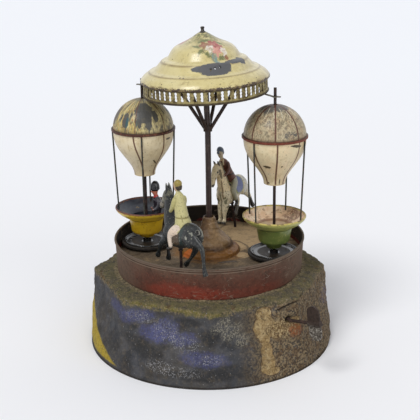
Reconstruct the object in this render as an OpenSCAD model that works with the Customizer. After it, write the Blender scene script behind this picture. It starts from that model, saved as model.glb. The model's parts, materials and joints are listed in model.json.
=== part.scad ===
// Tin musical carousel with two captive balloons, two horses and a winding key.
// Millimetres. The origin is the middle of the underside, +Z is up and -Y is the front.
// The clockwork is drawn along its own +X, which points out through the winding key.

/* [Base] */
// Radius of the round foot
base_r = 115; // [112:0.5:120]
// Corner radius of the eight-sided top
base_corner_r = 109.5; // [109:0.5:112]
// Height of the edge of the eight-sided top
base_h = 70; // [69:0.5:70.5]
// Height of the ledge at the foot of the drum
ledge_z = 71.9; // [71.5:0.1:72.5]
// Radius of the space inside the base
cavity_r = 97; // [94:0.5:98]
// Thickness of the wooden bottom board
board_t = 6; // [5:0.5:6]

/* [Drum and deck] */
// Outer radius of the drum at its foot
drum_foot_r = 87; // [87:0.1:87.4]
// Outer radius of the drum at its rim
drum_rim_r = 88.3; // [88.2:0.1:88.6]
// Height of the drum's rim
drum_top_z = 101.5; // [100:0.5:101.5]
// Thickness of the tin sheet
tin = 0.8; // [0.7:0.1:0.9]
// Top of the turning deck
deck_z = 85; // [84.8:0.1:85]
// Radius of the turning deck
deck_r = 86.2; // [85:0.1:86.2]

/* [Centre post and canopy] */
// Radius of the centre post
post_r = 2.7; // [2.6:0.05:2.8]
// Top of the centre post
post_top_z = 290; // [288:0.5:290]
// Height of the collar where the struts meet
collar_z = 203; // [198:1:208]
// How far everything above the collar leans to the left, in degrees
lean = 2.2; // [0:0.1:2.6]
// Radius of the canopy's rim
canopy_r = 57.9; // [57.5:0.1:58.5]
// Height of the canopy's rim
canopy_z = 250; // [249.5:0.1:250.5]
// Radius of the pierced gallery
gallery_r = 55.8; // [55:0.1:56]
// Lower edge of the gallery
gallery_z = 236.5; // [235:0.5:238]
// Number of piercings in the gallery
gallery_slots = 60; // [48:2:64]

/* [Balloons] */
// Distance of each balloon rod from the centre
orbit_r = 62.3; // [62:0.1:62.4]
// Where the right balloon stands, in degrees from the right-hand side
orbit_angle = -16.5; // [-20:0.5:-12]
// Radius of the balloon rods
rod_r = 1.35; // [1.2:0.05:1.4]
// Top of the balloon rods
rod_top_z = 243.7; // [242:0.1:246]
// Radius of the envelope
envelope_r = 28.2; // [27:0.1:28.6]
// Height of the envelope's upper half
envelope_up = 28.5; // [27:0.5:29.5]
// Height of the envelope's widest ring
ring_z = 200.2; // [196:0.1:202]
// Height of the underside of the envelope's neck
neck_z = 156.4; // [154:0.1:160]
// Radius of the envelope's neck
neck_r = 9.8; // [9:0.1:11]
// Radius of the gondola's rim
gondola_r = 29.2; // [27:0.1:30]
// Height of the gondola's rim
gondola_z = 125.5; // [124:0.1:127]
// Radius of the friction tyre that rolls inside the drum
tyre_r = 24.4; // [24:0.05:24.4]
// How much lower the left gondola hangs
left_drop = 1.2; // [0:0.2:1.6]

/* [Horses] */
// Distance of the horse pegs from the centre
peg_orbit_r = 70; // [68:0.5:71]
// Where the dark horse stands, in degrees from the right-hand side
dark_peg_angle = 249; // [246:1:251]
// Where the white horse stands, in degrees from the right-hand side
white_peg_angle = 68; // [66:1:70]
// Which way the dark horse faces
dark_heading = 128; // [124:1:132]
// Which way the white horse faces
white_heading = -122; // [-126:1:-116]
// How far the peg of the white horse is bent to the left, in degrees
white_lean = 7; // [0:1:8]

/* [Clockwork] */
// Where the key comes out, in degrees to the right of the front
key_side = 39.5; // [36:0.5:42]
// Height of the winding arbor
arbor_z = 51; // [50.9:0.1:51.1]
// Length of the bent end of the shank, from the bend to the middle of the key
key_reach = 25.8; // [22:0.2:27]
// How far the shank is bent upwards, in degrees
key_bend_up = 11; // [0:1:12]
// How far the shank is bent sideways, in degrees
key_bend_side = 7; // [0:1:8]
// Half the span of the key's wings
key_wing_h = 15.5; // [13:0.5:17]
// Tooth module of the great wheel
great_m = 0.6; // [0.6:0.1:0.6]
// Teeth of the great wheel and of the crown wheel beside it
great_teeth = 60; // [60:1:60]
// Teeth of the spindle pinion
spindle_teeth = 12; // [12:1:12]

/* [Hidden] */

// Play of a turning fit, and of a piece fixed on a shaft
run = 0.06;
snug = 0.02;
// Facets of exact round parts
fine = 96;

// Octagon
octagon_apothem = base_corner_r * cos(22.5);
base_sides = 72;
shell_rings = 7;
top_hole_r = 62;
shell_top_t = 6;
key_hole_r = 3.5;
rebate_r = 101;
tack_r = 99;
tack_count = 8;
tack_shank_r = 0.9;

// Drum and deck
pan_floor_z = ledge_z + tin;
bead_r = 1;
pan_screw_r = 75;
pan_screw_count = 6;
bush_r = 5;
deck_t = 1;
deck_hub_r = 6;
wheel_top_z = deck_z + 6.2;

// Centre
spindle_r = 2;
spindle_foot_z = board_t + 1.3;
spindle_top_z = 112;
mound_top_r = 6;
strut_r = 1.6;
strut_turn = -25;
strut_foot = [2.6, collar_z + 3];
strut_head = [41.5, collar_z + 59.4];

// Pegs and horses
peg_r = 1.3;
peg_collar_z = 111.4;
peg_top_z = 119;
figure_sides = 12;

// Clockwork, along the arbor
back_plate_x = 10;
front_plate_x = 40;
plate_t = 1.5;
plate_y = [-24, 34];
plate_top_z = 69.5;
arbor_r = 1.5;
hub_r = 3;
barrel_r = 16;
great_x = 13;
great_t = 2;
barrel_end_x = 33;
crown_face_x = 4.4;
crown_t = 2;
ratchet_x = 42.2;
key_bend_x = 111;
key_wing_w = 13;
ratchet_t = 1.4;
ratchet_teeth = 12;
ratchet_tip_r = 6.5;
ratchet_root_r = 5.2;
great_r = great_m * great_teeth / 2;
spindle_pinion_r = great_m * spindle_teeth / 2;
second_teeth = [10, 54];
third_teeth = [9, 48];
fan_teeth = 8;
second_m = 0.5;
third_m = 0.4;
second_angle = -30;
third_angle = -80;
fan_angle = 195;
second_at = [0, arbor_z] + polar(great_m * (great_teeth + second_teeth[0]) / 2, second_angle);
third_at = second_at + polar(second_m * (second_teeth[1] + third_teeth[0]) / 2, third_angle);
fan_at = third_at + polar(third_m * (third_teeth[1] + fan_teeth) / 2, fan_angle);
pivot_r = 0.7;
staff_r = 1.1;
pillars = [[-19, 12], [-19, 64.5], [29, 12], [29, 64.5]];

// Music
music_r = 6.5;
music_z = [12.5, 27.5];
pin_tip_r = 7.2;
comb_teeth = 14;
comb_pitch = (music_z[1] - music_z[0]) / comb_teeth;
comb_tip = 7.5;
comb_root = 19;
comb_back = 27;

// A point at a distance and an angle
function polar(r, a) = [r * cos(a), r * sin(a)];
function reversed(p) = [for (i = [len(p) - 1:-1:0]) p[i]];
function shifted(p, by) = [for (q = p) q + by];

// Points of a smooth curve through a list of points
function curve_point(p, i, t) =
    let (a = p[max(i - 1, 0)], b = p[i], c = p[i + 1], d = p[min(i + 2, len(p) - 1)])
    0.5 * (2 * b + (c - a) * t + (2 * a - 5 * b + 4 * c - d) * t * t
        + (3 * b - a - 3 * c + d) * t * t * t);
function smooth(p, steps = 4) = concat(
    [for (i = [0:len(p) - 2], k = [0:steps - 1]) curve_point(p, i, k / steps)],
    [p[len(p) - 1]]);

// A thin spun shell: an outline of [radius, height] and the same outline moved by the wall
module spun(outline, wall) {
    rotate_extrude($fn = fine) polygon(concat(outline, reversed(shifted(outline, wall))));
}

// A closed body through rings that all have the same number of points
module loft(rings) {
    n = len(rings[0]);
    last = (len(rings) - 1) * n;
    sides = [for (k = [0:len(rings) - 2], i = [0:n - 1]) let (a = k * n, j = (i + 1) % n)
        each [[a + i, a + n + i, a + n + j], [a + i, a + n + j, a + j]]];
    polyhedron(points = [for (r = rings) each r],
        faces = concat([[for (i = [0:n - 1]) i]], sides, [[for (i = [n - 1:-1:0]) last + i]]));
}

// A limb in the figure's own upright plane.
// Each station is [forward, up, half depth, half width, sideways].
module limb(stations, sides = figure_sides) {
    last = len(stations) - 1;
    loft([for (k = [0:last])
        let (s = stations[k], a = stations[max(k - 1, 0)], b = stations[min(k + 1, last)],
            t = atan2(b[1] - a[1], b[0] - a[0]))
        [for (i = [0:sides - 1]) let (q = 360 * i / sides)
            [s[0] - sin(t) * s[2] * sin(q), s[4] + s[3] * cos(q), s[1] + cos(t) * s[2] * sin(q)]]]);
}

// Leans a child to the left about the collar
module leaning() {
    translate([0, 0, collar_z]) rotate([0, -lean, 0]) translate([0, 0, -collar_z]) children();
}

// Places a child at the right balloon (side = 0) or the left one (side = 180)
module at_balloon(side) {
    rotate([0, 0, orbit_angle + side]) translate([orbit_r, 0, 0]) children();
}

// Turns the clockwork's own frame to the side of the key
module in_clockwork() {
    rotate([0, 0, key_side - 90]) children();
}

// Places a child on an arbor at [sideways, height], with its own +Z along the arbor
module on_arbor(at, x = 0) {
    in_clockwork() translate([x, at[0], at[1]]) rotate([90, 0, 90]) children();
}

// Flat outline of a gear: straight-flanked teeth, thinner than half a pitch for free running
function gear_outline(teeth, m) =
    let (r = m * teeth / 2, pitch = 360 / teeth, tip = r + 0.75 * m, root = r - 1.05 * m)
    [for (i = [0:teeth - 1]) each [polar(root, pitch * (i - 0.25)), polar(r, pitch * (i - 0.185)),
        polar(tip, pitch * (i - 0.07)), polar(tip, pitch * (i + 0.07)),
        polar(r, pitch * (i + 0.185)), polar(root, pitch * (i + 0.25))]];

module gear(teeth, m, thick, bore, turn = 0) {
    rotate([0, 0, turn]) difference() {
        linear_extrude(height = thick) polygon(gear_outline(teeth, m));
        translate([0, 0, -1]) cylinder(r = bore, h = thick + 2, $fn = fine);
    }
}

// A stepped staff: pivots at both ends and a thicker middle
module staff(length, shoulder) {
    cylinder(r = pivot_r, h = length, $fn = 32);
    translate([0, 0, shoulder]) cylinder(r = staff_r, h = length - 2 * shoulder, $fn = 32);
}

// A round-headed screw that points down from its head
module screw(head_r, head_h, shank_r, length) {
    difference() {
        cylinder(r = head_r, h = head_h, $fn = 32);
        translate([0, 0, head_h]) cube([head_r * 3, 0.6, head_h], center = true);
    }
    translate([0, 0, -length]) cylinder(r = shank_r, h = length, $fn = 32);
}

// Radius of the eight-sided plan at an angle
function octagon_r(a) = octagon_apothem / cos((a + 360) % 45 - 22.5);

// The base: round at the foot, eight-sided at the top, with a ledge up to the drum
module base_shell() {
    side_ring = [for (k = [0:shell_rings - 1]) k / (shell_rings - 1)];
    color([0.32, 0.32, 0.32]) difference() {
        loft(concat(
            [for (t = side_ring) [for (i = [0:base_sides - 1])
                let (a = 360 * i / base_sides, s = t * t * (3 - 2 * t),
                    r = base_r * (1 - s) + octagon_r(a) * s)
                [r * cos(a), r * sin(a), base_h * t]]],
            [[for (i = [0:base_sides - 1]) let (a = 360 * i / base_sides)
                [drum_rim_r * cos(a), drum_rim_r * sin(a), ledge_z]]]));
        translate([0, 0, board_t]) cylinder(r = cavity_r, h = ledge_z - shell_top_t - board_t, $fn = fine);
        translate([0, 0, -1]) cylinder(r = rebate_r, h = board_t + 1.01, $fn = fine);
        cylinder(r = top_hole_r, h = ledge_z + 1, $fn = fine);
        on_arbor([0, arbor_z], cavity_r - 10) cylinder(r = key_hole_r, h = 40, $fn = 48);
        for (i = [0:tack_count - 1])
            rotate([0, 0, 360 * i / tack_count]) translate([tack_r, 0, 0])
                cylinder(r = tack_shank_r + snug, h = 14.2, $fn = 32);
        for (i = [0:pan_screw_count - 1])
            rotate([0, 0, 360 * i / pan_screw_count]) translate([pan_screw_r, 0, ledge_z - shell_top_t - 1])
                cylinder(r = 1.02, h = shell_top_t + 2, $fn = 32);
    }
}

module bottom_board() {
    color([0.52, 0.4, 0.26]) difference() {
        cylinder(r = rebate_r - 0.3, h = board_t, $fn = fine);
        for (i = [0:tack_count - 1])
            rotate([0, 0, 360 * i / tack_count]) translate([tack_r, 0, -1]) {
                cylinder(r = tack_shank_r + snug, h = board_t + 2, $fn = 32);
                cylinder(r = 2.05, h = 1.8, $fn = 32);
            }
        at_frame_screws() translate([0, 0, board_t - 4]) cylinder(r = 0.92, h = 5, $fn = 32);
        at_bracket_screws() translate([0, 0, board_t - 4]) cylinder(r = 0.92, h = 5, $fn = 32);
    }
}

module board_tacks() {
    color([0.35, 0.33, 0.3]) for (i = [0:tack_count - 1])
        rotate([0, 0, 360 * i / tack_count]) translate([tack_r, 0, 0.05]) {
            cylinder(r = 2, h = 0.7, $fn = 32);
            cylinder(r = tack_shank_r, h = 14, $fn = 32);
        }
}

// The fixed drum: a flat floor, a slightly flared wall and a rolled rim
module drum_pan() {
    color([0.42, 0.17, 0.13]) difference() {
        union() {
            rotate_extrude($fn = fine) polygon([[bush_r + snug, ledge_z], [drum_foot_r, ledge_z],
                [drum_rim_r, drum_top_z - bead_r], [drum_rim_r - tin, drum_top_z - bead_r],
                [drum_foot_r - tin, pan_floor_z], [bush_r + snug, pan_floor_z]]);
            rotate_extrude($fn = fine) translate([drum_rim_r - 0.2, drum_top_z - bead_r])
                circle(r = bead_r, $fn = 24);
        }
        for (i = [0:pan_screw_count - 1])
            rotate([0, 0, 360 * i / pan_screw_count]) translate([pan_screw_r, 0, ledge_z - 1])
                cylinder(r = 1.02, h = 3, $fn = 32);
    }
}

module pan_screws() {
    color([0.5, 0.46, 0.38]) for (i = [0:pan_screw_count - 1])
        rotate([0, 0, 360 * i / pan_screw_count]) translate([pan_screw_r, 0, pan_floor_z])
            screw(2.4, 1.4, 1, 6.5);
}

// Bush in the floor of the drum that steadies the spindle
module spindle_bush() {
    color([0.72, 0.58, 0.3]) difference() {
        union() {
            translate([0, 0, ledge_z - 1.2]) cylinder(r = bush_r, h = 5.4, $fn = fine);
            translate([0, 0, ledge_z - 1.2]) cylinder(r = bush_r + 3, h = 1.2, $fn = fine);
        }
        translate([0, 0, ledge_z - 4]) cylinder(r = spindle_r + run, h = 10, $fn = fine);
    }
}

// Blind cup on the board that carries the foot of the spindle
module footstep_cup() {
    color([0.72, 0.58, 0.3]) difference() {
        translate([0, 0, board_t]) cylinder(r = 4.5, h = 5.5, $fn = fine);
        translate([0, 0, board_t + 1.2]) cylinder(r = spindle_r + run, h = 6, $fn = fine);
    }
}

// Places children at the four frame screws, on the feet of the two plates
module at_frame_screws() {
    in_clockwork() for (x = [back_plate_x + 7, front_plate_x + plate_t + 5], y = [-14, 26])
        translate([x, y, 0]) children();
}

// A frame plate: an upright sheet with two bent feet, pierced for its arbors
module plate(x, centre_bore, foot_from, foot_to) {
    in_clockwork() difference() {
        union() {
            translate([x, plate_y[0], board_t])
                cube([plate_t, plate_y[1] - plate_y[0], plate_top_z - board_t]);
            for (y = [-14, 26]) translate([foot_from, y - 5, board_t])
                cube([foot_to - foot_from, 10, plate_t]);
        }
        translate([x - 1, 0, arbor_z]) rotate([0, 90, 0])
            cylinder(r = centre_bore, h = plate_t + 2, $fn = fine);
        for (at = [second_at, third_at, fan_at]) translate([x - 1, at[0], at[1]]) rotate([0, 90, 0])
            cylinder(r = pivot_r + run, h = plate_t + 2, $fn = 48);
        for (at = pillars) translate([x - 1, at[0], at[1]]) rotate([0, 90, 0])
            cylinder(r = 1.3 + snug, h = plate_t + 2, $fn = 48);
        for (sx = [back_plate_x + 7, front_plate_x + plate_t + 5], y = [-14, 26])
            translate([sx, y, board_t - 1]) cylinder(r = 1, h = plate_t + 2, $fn = 32);
    }
}

module back_plate() {
    color([0.7, 0.56, 0.3]) plate(back_plate_x, hub_r + run, back_plate_x + 0.5, back_plate_x + 11);
}

module front_plate() {
    color([0.7, 0.56, 0.3]) difference() {
        plate(front_plate_x, arbor_r + run, front_plate_x + 0.5, front_plate_x + plate_t + 9);
        on_arbor(click_rivet_at, front_plate_x - 1) cylinder(r = 1 + snug, h = 4, $fn = 32);
    }
}

// Pillars between the plates, with a thinner threaded end through each plate
module frame_pillars() {
    color([0.72, 0.6, 0.34]) for (at = pillars) {
        on_arbor(at, back_plate_x + plate_t)
            cylinder(r = 2.4, h = front_plate_x - back_plate_x - plate_t, $fn = 32);
        on_arbor(at, back_plate_x - 2.2)
            cylinder(r = 1.3, h = front_plate_x - back_plate_x + plate_t + 4.4, $fn = 32);
    }
}

// Six-sided nuts on both ends of every pillar
module pillar_nuts() {
    color([0.6, 0.57, 0.5]) for (at = pillars, x = [back_plate_x - 1.7, front_plate_x + plate_t])
        on_arbor(at, x) difference() {
            cylinder(r = 2.6, h = 1.7, $fn = 6);
            translate([0, 0, -1]) cylinder(r = 1.3 + snug, h = 4, $fn = 32);
        }
}

module frame_screws() {
    color([0.5, 0.46, 0.38]) at_frame_screws() translate([0, 0, board_t + plate_t])
        screw(2, 1.2, 0.9, plate_t + 3);
}

// Clicking pawl: a springy strip riveted to the front plate, its tip in the ratchet
click_tip_angle = 95;
click_tip_r = 5.55;
click_tip_at = polar(click_tip_r, click_tip_angle);
click_rivet_at = [-15, arbor_z + 7.5];
module ratchet_click() {
    tip = click_tip_at;
    rivet = click_rivet_at - [0, arbor_z];
    color([0.55, 0.56, 0.58]) on_arbor([0, arbor_z], front_plate_x + plate_t) {
        translate([0, 0, ratchet_x - front_plate_x - plate_t]) difference() {
            union() {
                linear_extrude(height = ratchet_t) polygon([tip, tip + [-0.2, 1.1],
                    [-6, 9], rivet + [0.8, 2.2], rivet + [0.4, 0.6], [-5.6, 8]]);
                translate(rivet) cylinder(r = 2.6, h = ratchet_t, $fn = 32);
            }
            translate([rivet[0], rivet[1], -1]) cylinder(r = 1 + snug, h = 4, $fn = 32);
        }
        translate([rivet[0], rivet[1], -plate_t - 0.5]) cylinder(r = 1, h = plate_t + 3.2, $fn = 32);
        translate([rivet[0], rivet[1], ratchet_x + ratchet_t - front_plate_x - plate_t + 0.05])
            cylinder(r = 1.9, h = 0.8, $fn = 32);
        difference() {
            translate([rivet[0], rivet[1], 0.02]) cylinder(r = 1.9, h = 0.6, $fn = 32);
            translate([rivet[0], rivet[1], -1]) cylinder(r = 1, h = 4, $fn = 32);
        }
    }
}

// Places children at the two screws of the comb bracket
module at_bracket_screws() {
    in_clockwork() for (y = [-9, 9]) translate([-(comb_root + comb_back) / 2, y, 0]) children();
}

// Steel comb with one tooth per track of the drum
module music_comb() {
    color([0.45, 0.46, 0.5]) in_clockwork() difference() {
        union() {
            translate([-comb_back, -0.6, music_z[0]])
                cube([comb_back - comb_root, 1.2, music_z[1] - music_z[0]]);
            for (i = [0:comb_teeth - 1])
                translate([-comb_root - 1, -0.25, music_z[0] + comb_pitch * (i + 0.14)])
                    cube([comb_root + 1 - comb_tip, 0.5, comb_pitch * 0.72]);
        }
        for (z = comb_screw_z) translate([-23, 5, z]) rotate([90, 0, 0]) cylinder(r = 1.02, h = 10, $fn = 32);
    }
}

comb_screw_z = [music_z[0] + 3.5, music_z[1] - 3.5];

// Angle bracket that holds the comb upright on the board
module comb_bracket() {
    color([0.7, 0.56, 0.3]) difference() {
        in_clockwork() {
            translate([-comb_back, 0.62, board_t]) cube([comb_back - comb_root, 2, music_z[1] - board_t]);
            translate([-comb_back, -12, board_t]) cube([comb_back - comb_root, 24, 2]);
        }
        in_clockwork() for (z = comb_screw_z) translate([-23, 5, z]) rotate([90, 0, 0])
            cylinder(r = 1.02, h = 10, $fn = 32);
        at_bracket_screws() translate([0, 0, board_t - 1]) cylinder(r = 1, h = 4, $fn = 32);
    }
}

// Two screws through the comb and two through the foot of its bracket
module comb_screws() {
    color([0.5, 0.46, 0.38]) {
        in_clockwork() for (z = comb_screw_z) translate([-23, -0.6, z]) rotate([90, 0, 0])
            screw(2, 1.2, 1, 4);
        at_bracket_screws() translate([0, 0, board_t + 2]) screw(2, 1.2, 0.9, 4.5);
    }
}

// Turns to the bent end of the shank: +Z runs along it from the bend
module at_bend() {
    on_arbor([0, arbor_z], key_bend_x) rotate([-key_bend_up, key_bend_side, 0]) children();
}

// Butterfly key: two flat rounded wings on a short hub
module winding_key() {
    color([0.4, 0.38, 0.36]) at_bend() translate([0, 0, key_reach - key_wing_w / 2]) difference() {
        union() {
            cylinder(r = 2.6, h = key_wing_w, $fn = 48);
            translate([-0.8, 0, key_wing_w / 2]) rotate([0, 90, 0]) linear_extrude(height = 1.6)
                for (s = [-1, 1]) {
                    translate([-key_wing_w / 2, s > 0 ? 0 : -(key_wing_h - key_wing_w / 2)])
                        square([key_wing_w, key_wing_h - key_wing_w / 2]);
                    translate([0, s * (key_wing_h - key_wing_w / 2)])
                        circle(r = key_wing_w / 2, $fn = 48);
                }
        }
        translate([0, 0, -1]) cylinder(r = arbor_r + snug, h = key_wing_w - 1, $fn = 48);
    }
}

// Winding arbor: straight through the clockwork and bent outside the base
module winding_arbor() {
    color([0.45, 0.43, 0.4]) {
        on_arbor([0, arbor_z], 5) cylinder(r = arbor_r, h = key_bend_x - 5, $fn = 48);
        on_arbor([0, arbor_z], key_bend_x) sphere(r = arbor_r + 0.15, $fn = 48);
        at_bend() cylinder(r = arbor_r, h = key_reach + key_wing_w / 2 - 2.1, $fn = 48);
    }
}

// Sawtooth wheel: each tooth rises slowly and drops at once
module ratchet_wheel() {
    step = 360 / ratchet_teeth;
    color([0.72, 0.6, 0.34]) on_arbor([0, arbor_z], ratchet_x) difference() {
        union() {
            linear_extrude(height = ratchet_t) polygon([for (i = [0:ratchet_teeth - 1])
                each [polar(ratchet_root_r, step * i), polar(ratchet_tip_r, step * (i + 0.88)),
                    polar(ratchet_root_r, step * (i + 0.96))]]);
            translate([0, 0, ratchet_t]) cylinder(r = 3, h = 1.6, $fn = 48);
        }
        translate([0, 0, -1]) cylinder(r = arbor_r + snug, h = 6, $fn = 48);
    }
}

// Great wheel and spring barrel in one, with a hub that runs in the back plate
module spring_barrel() {
    color([0.74, 0.6, 0.3]) on_arbor([0, arbor_z], great_x) difference() {
        union() {
            linear_extrude(height = great_t)
                polygon(gear_outline(great_teeth, great_m));
            translate([0, 0, great_t]) difference() {
                cylinder(r = barrel_r, h = barrel_end_x - great_x - great_t, $fn = fine);
                translate([0, 0, -0.01])
                    cylinder(r = barrel_r - tin, h = barrel_end_x - great_x, $fn = fine);
            }
            translate([0, 0, crown_face_x - great_x])
                cylinder(r = hub_r, h = great_x - crown_face_x + 1, $fn = fine);
        }
        translate([0, 0, -12]) cylinder(r = arbor_r + run, h = 30, $fn = fine);
    }
}

module barrel_cap() {
    color([0.74, 0.6, 0.3]) on_arbor([0, arbor_z], barrel_end_x) difference() {
        cylinder(r = barrel_r, h = 1.2, $fn = fine);
        translate([0, 0, -1]) cylinder(r = arbor_r + run, h = 4, $fn = fine);
    }
}

// Flat spring wound in the barrel
module mainspring() {
    turns = 5.5;
    per_turn = 24;
    inner_r = arbor_r + run;
    outer_r = barrel_r - tin - snug;
    band = 0.5;
    steps = turns * per_turn;
    path = [for (i = [0:steps]) [inner_r + (outer_r - inner_r - band) * i / steps, 360 * i / per_turn]];
    color([0.35, 0.38, 0.42]) on_arbor([0, arbor_z], great_x + great_t + 0.8)
        linear_extrude(height = barrel_end_x - great_x - great_t - 1.6) polygon(concat(
            [for (p = path) polar(p[0], p[1])], reversed([for (p = path) polar(p[0] + band, p[1])])));
}

// Crown wheel: its teeth stand on its face and drive the spindle pinion
module crown_wheel() {
    tooth_h = 1.35;
    tooth_from = great_r - 1.4;
    tooth_len = 2.8;
    pitch_w = PI * great_m;
    color([0.74, 0.6, 0.3]) on_arbor([0, arbor_z], crown_face_x) difference() {
        union() {
            cylinder(r = great_r + 1.4, h = crown_t, $fn = fine);
            for (i = [0:great_teeth - 1]) rotate([0, 0, 360 * i / great_teeth - 90])
                translate([tooth_from, 0, 0]) rotate([90, 0, 90]) linear_extrude(height = tooth_len)
                    polygon([[-0.2 * pitch_w, 0.01], [-0.06 * pitch_w, -tooth_h],
                        [0.06 * pitch_w, -tooth_h], [0.2 * pitch_w, 0.01]]);
        }
        translate([0, 0, -5]) cylinder(r = hub_r + snug, h = 10, $fn = fine);
        for (i = [0:3]) rotate([0, 0, 90 * i + 45]) translate([9.5, 0, -1])
            cylinder(r = 3.6, h = crown_t + 2, $fn = 48);
    }
}

// Governor train: each arbor carries a pinion and a larger wheel
module second_arbor() {
    color([0.6, 0.58, 0.5]) {
        on_arbor(second_at, back_plate_x) staff(front_plate_x - back_plate_x + plate_t, plate_t + 0.4);
        on_arbor(second_at, great_x - 0.5)
            gear(second_teeth[0], great_m, great_t + 1, staff_r - 0.2, second_angle + 180 + 180 / second_teeth[0]);
    }
}

module second_wheel() {
    color([0.74, 0.6, 0.3]) on_arbor(second_at, front_plate_x - 3.6) difference() {
        gear(second_teeth[1], second_m, 1.2, staff_r + snug, third_angle);
        for (i = [0:4]) rotate([0, 0, 72 * i]) translate([7.6, 0, -1]) cylinder(r = 2.8, h = 4, $fn = 48);
    }
}

module third_arbor() {
    color([0.6, 0.58, 0.5]) {
        on_arbor(third_at, back_plate_x) staff(front_plate_x - back_plate_x + plate_t, plate_t + 0.4);
        on_arbor(third_at, front_plate_x - 4.1)
            gear(third_teeth[0], second_m, 2.2, staff_r - 0.2, third_angle + 180 + 180 / third_teeth[0]);
    }
}

module third_wheel() {
    color([0.74, 0.6, 0.3]) on_arbor(third_at, front_plate_x - 9.5)
        gear(third_teeth[1], third_m, 1, staff_r + snug, fan_angle);
}

module fan_arbor() {
    color([0.6, 0.58, 0.5]) {
        on_arbor(fan_at, back_plate_x) staff(front_plate_x - back_plate_x + plate_t, plate_t + 0.4);
        on_arbor(fan_at, front_plate_x - 10)
            gear(fan_teeth, third_m, 2, staff_r - 0.2, fan_angle + 180 + 180 / fan_teeth);
    }
}

// Air brake: four thin vanes on a sleeve
module fan_vanes() {
    color([0.66, 0.62, 0.5]) on_arbor(fan_at, back_plate_x + 4) difference() {
        union() {
            cylinder(r = 2, h = 12, $fn = 32);
            for (i = [0:3]) rotate([0, 0, 90 * i]) translate([1, -0.25, 0]) cube([6, 0.5, 12]);
        }
        translate([0, 0, -1]) cylinder(r = staff_r + snug, h = 14, $fn = 32);
    }
}

module spindle() {
    color([0.5, 0.5, 0.5]) translate([0, 0, spindle_foot_z])
        cylinder(r = spindle_r, h = spindle_top_z - spindle_foot_z, $fn = fine);
}

module spindle_pinion() {
    color([0.72, 0.6, 0.34]) rotate([0, 0, key_side - 90]) translate([0, 0, arbor_z - great_r - 3.2])
        gear(spindle_teeth, great_m, 6.4, spindle_r + snug, 180 / spindle_teeth);
}

// Pinned drum: each pin plucks one tooth of the comb
module music_drum() {
    pins = 70;
    golden = 137.5;
    color([0.72, 0.58, 0.3]) difference() {
        union() {
            translate([0, 0, music_z[0]])
                cylinder(r = music_r, h = music_z[1] - music_z[0], $fn = fine);
            for (i = [0:pins - 1]) rotate([0, 0, key_side - 90 + 180 + 9 + 342 * (i / pins)])
                translate([music_r - 0.3, 0, music_z[0] + comb_pitch * ((i * golden) % comb_teeth
                    - ((i * golden) % 1) + 0.5)])
                    rotate([0, 90, 0]) cylinder(r = 0.22, h = pin_tip_r - music_r + 0.3, $fn = 16);
        }
        translate([0, 0, music_z[0] - 1]) cylinder(r = spindle_r + snug, h = 20, $fn = fine);
    }
}

// Places children at the two horse pegs
module at_pegs() {
    for (a = [dark_peg_angle, white_peg_angle]) translate(concat(polar(peg_orbit_r, a), 0)) children();
}

// Turning deck: a shallow tin dish with a hub, pierced for rods and pegs
module deck() {
    color([0.72, 0.62, 0.46]) difference() {
        union() {
            rotate_extrude($fn = fine) polygon([[spindle_r + snug, deck_z - deck_t],
                [deck_r - deck_t, deck_z - deck_t], [deck_r - deck_t, deck_z - 4], [deck_r, deck_z - 4],
                [deck_r, deck_z], [spindle_r + snug, deck_z]]);
            translate([0, 0, ledge_z + 4.6]) cylinder(r = deck_hub_r, h = deck_z - ledge_z - 5, $fn = fine);
        }
        translate([0, 0, ledge_z]) cylinder(r = spindle_r + snug, h = 20, $fn = fine);
        for (side = [0, 180]) at_balloon(side) translate([0, 0, deck_z - 5])
            cylinder(r = rod_r + run, h = 8, $fn = 48);
        at_pegs() translate([0, 0, deck_z - 5]) cylinder(r = peg_r + snug, h = 8, $fn = 48);
    }
}

// Stepped mound round the foot of the post
mound_outline = smooth([[29.4, deck_z + 0.02], [29, deck_z + 3.4], [26.5, deck_z + 6], [23.4, deck_z + 6.8],
    [22.9, deck_z + 9.5], [20.5, deck_z + 13.5], [16, deck_z + 16.8], [11.5, deck_z + 20.6],
    [8.4, deck_z + 26.5], [6.9, deck_z + 31.5], [5.2, deck_z + 34]], 4);
module mound() {
    color([0.66, 0.5, 0.3]) difference() {
        spun(mound_outline, [-tin, 0]);
        translate([0, 0, deck_z + 20]) cylinder(r = post_r + snug, h = 20, $fn = fine);
    }
    color([0.66, 0.5, 0.3]) difference() {
        translate([0, 0, deck_z + 32.6]) cylinder(r = 4.8, h = 1.4, $fn = fine);
        translate([0, 0, deck_z + 20]) cylinder(r = post_r + snug, h = 20, $fn = fine);
    }
}

// The post as a solid: upright to the collar and leaning above it
module post_form(r) {
    translate([0, 0, deck_z + 0.02]) cylinder(r = r, h = collar_z - deck_z, $fn = fine);
    translate([0, 0, collar_z]) sphere(r = r + 0.15, $fn = fine);
    leaning() translate([0, 0, collar_z]) cylinder(r = r, h = post_top_z - collar_z, $fn = fine);
}

module post() {
    color([0.2, 0.13, 0.11]) difference() {
        post_form(post_r);
        translate([0, 0, deck_z - 1]) cylinder(r = spindle_r + snug, h = spindle_top_z - deck_z + 2, $fn = fine);
    }
}

// Collar on the post and four struts that end against the inside of the canopy
module struts() {
    rise = strut_head - strut_foot;
    under = shifted(canopy_outline, [-tin - snug, -tin - snug]);
    color([0.2, 0.15, 0.13]) difference() {
        union() {
            translate([0, 0, collar_z - 2]) cylinder(r = 4, h = 6, $fn = fine);
            leaning() intersection() {
                for (i = [0:3]) rotate([0, 0, strut_turn + 90 * i])
                    translate([strut_foot[0], 0, strut_foot[1] - 3])
                        rotate([0, atan2(rise[0], rise[1]), 0])
                            cylinder(r = strut_r, h = norm(rise) + 3, $fn = 32);
                rotate_extrude($fn = fine)
                    polygon(concat([[0, collar_z - 9], [canopy_r, collar_z - 9]], under, [[0, post_top_z]]));
            }
        }
        post_form(post_r + snug);
    }
}

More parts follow.
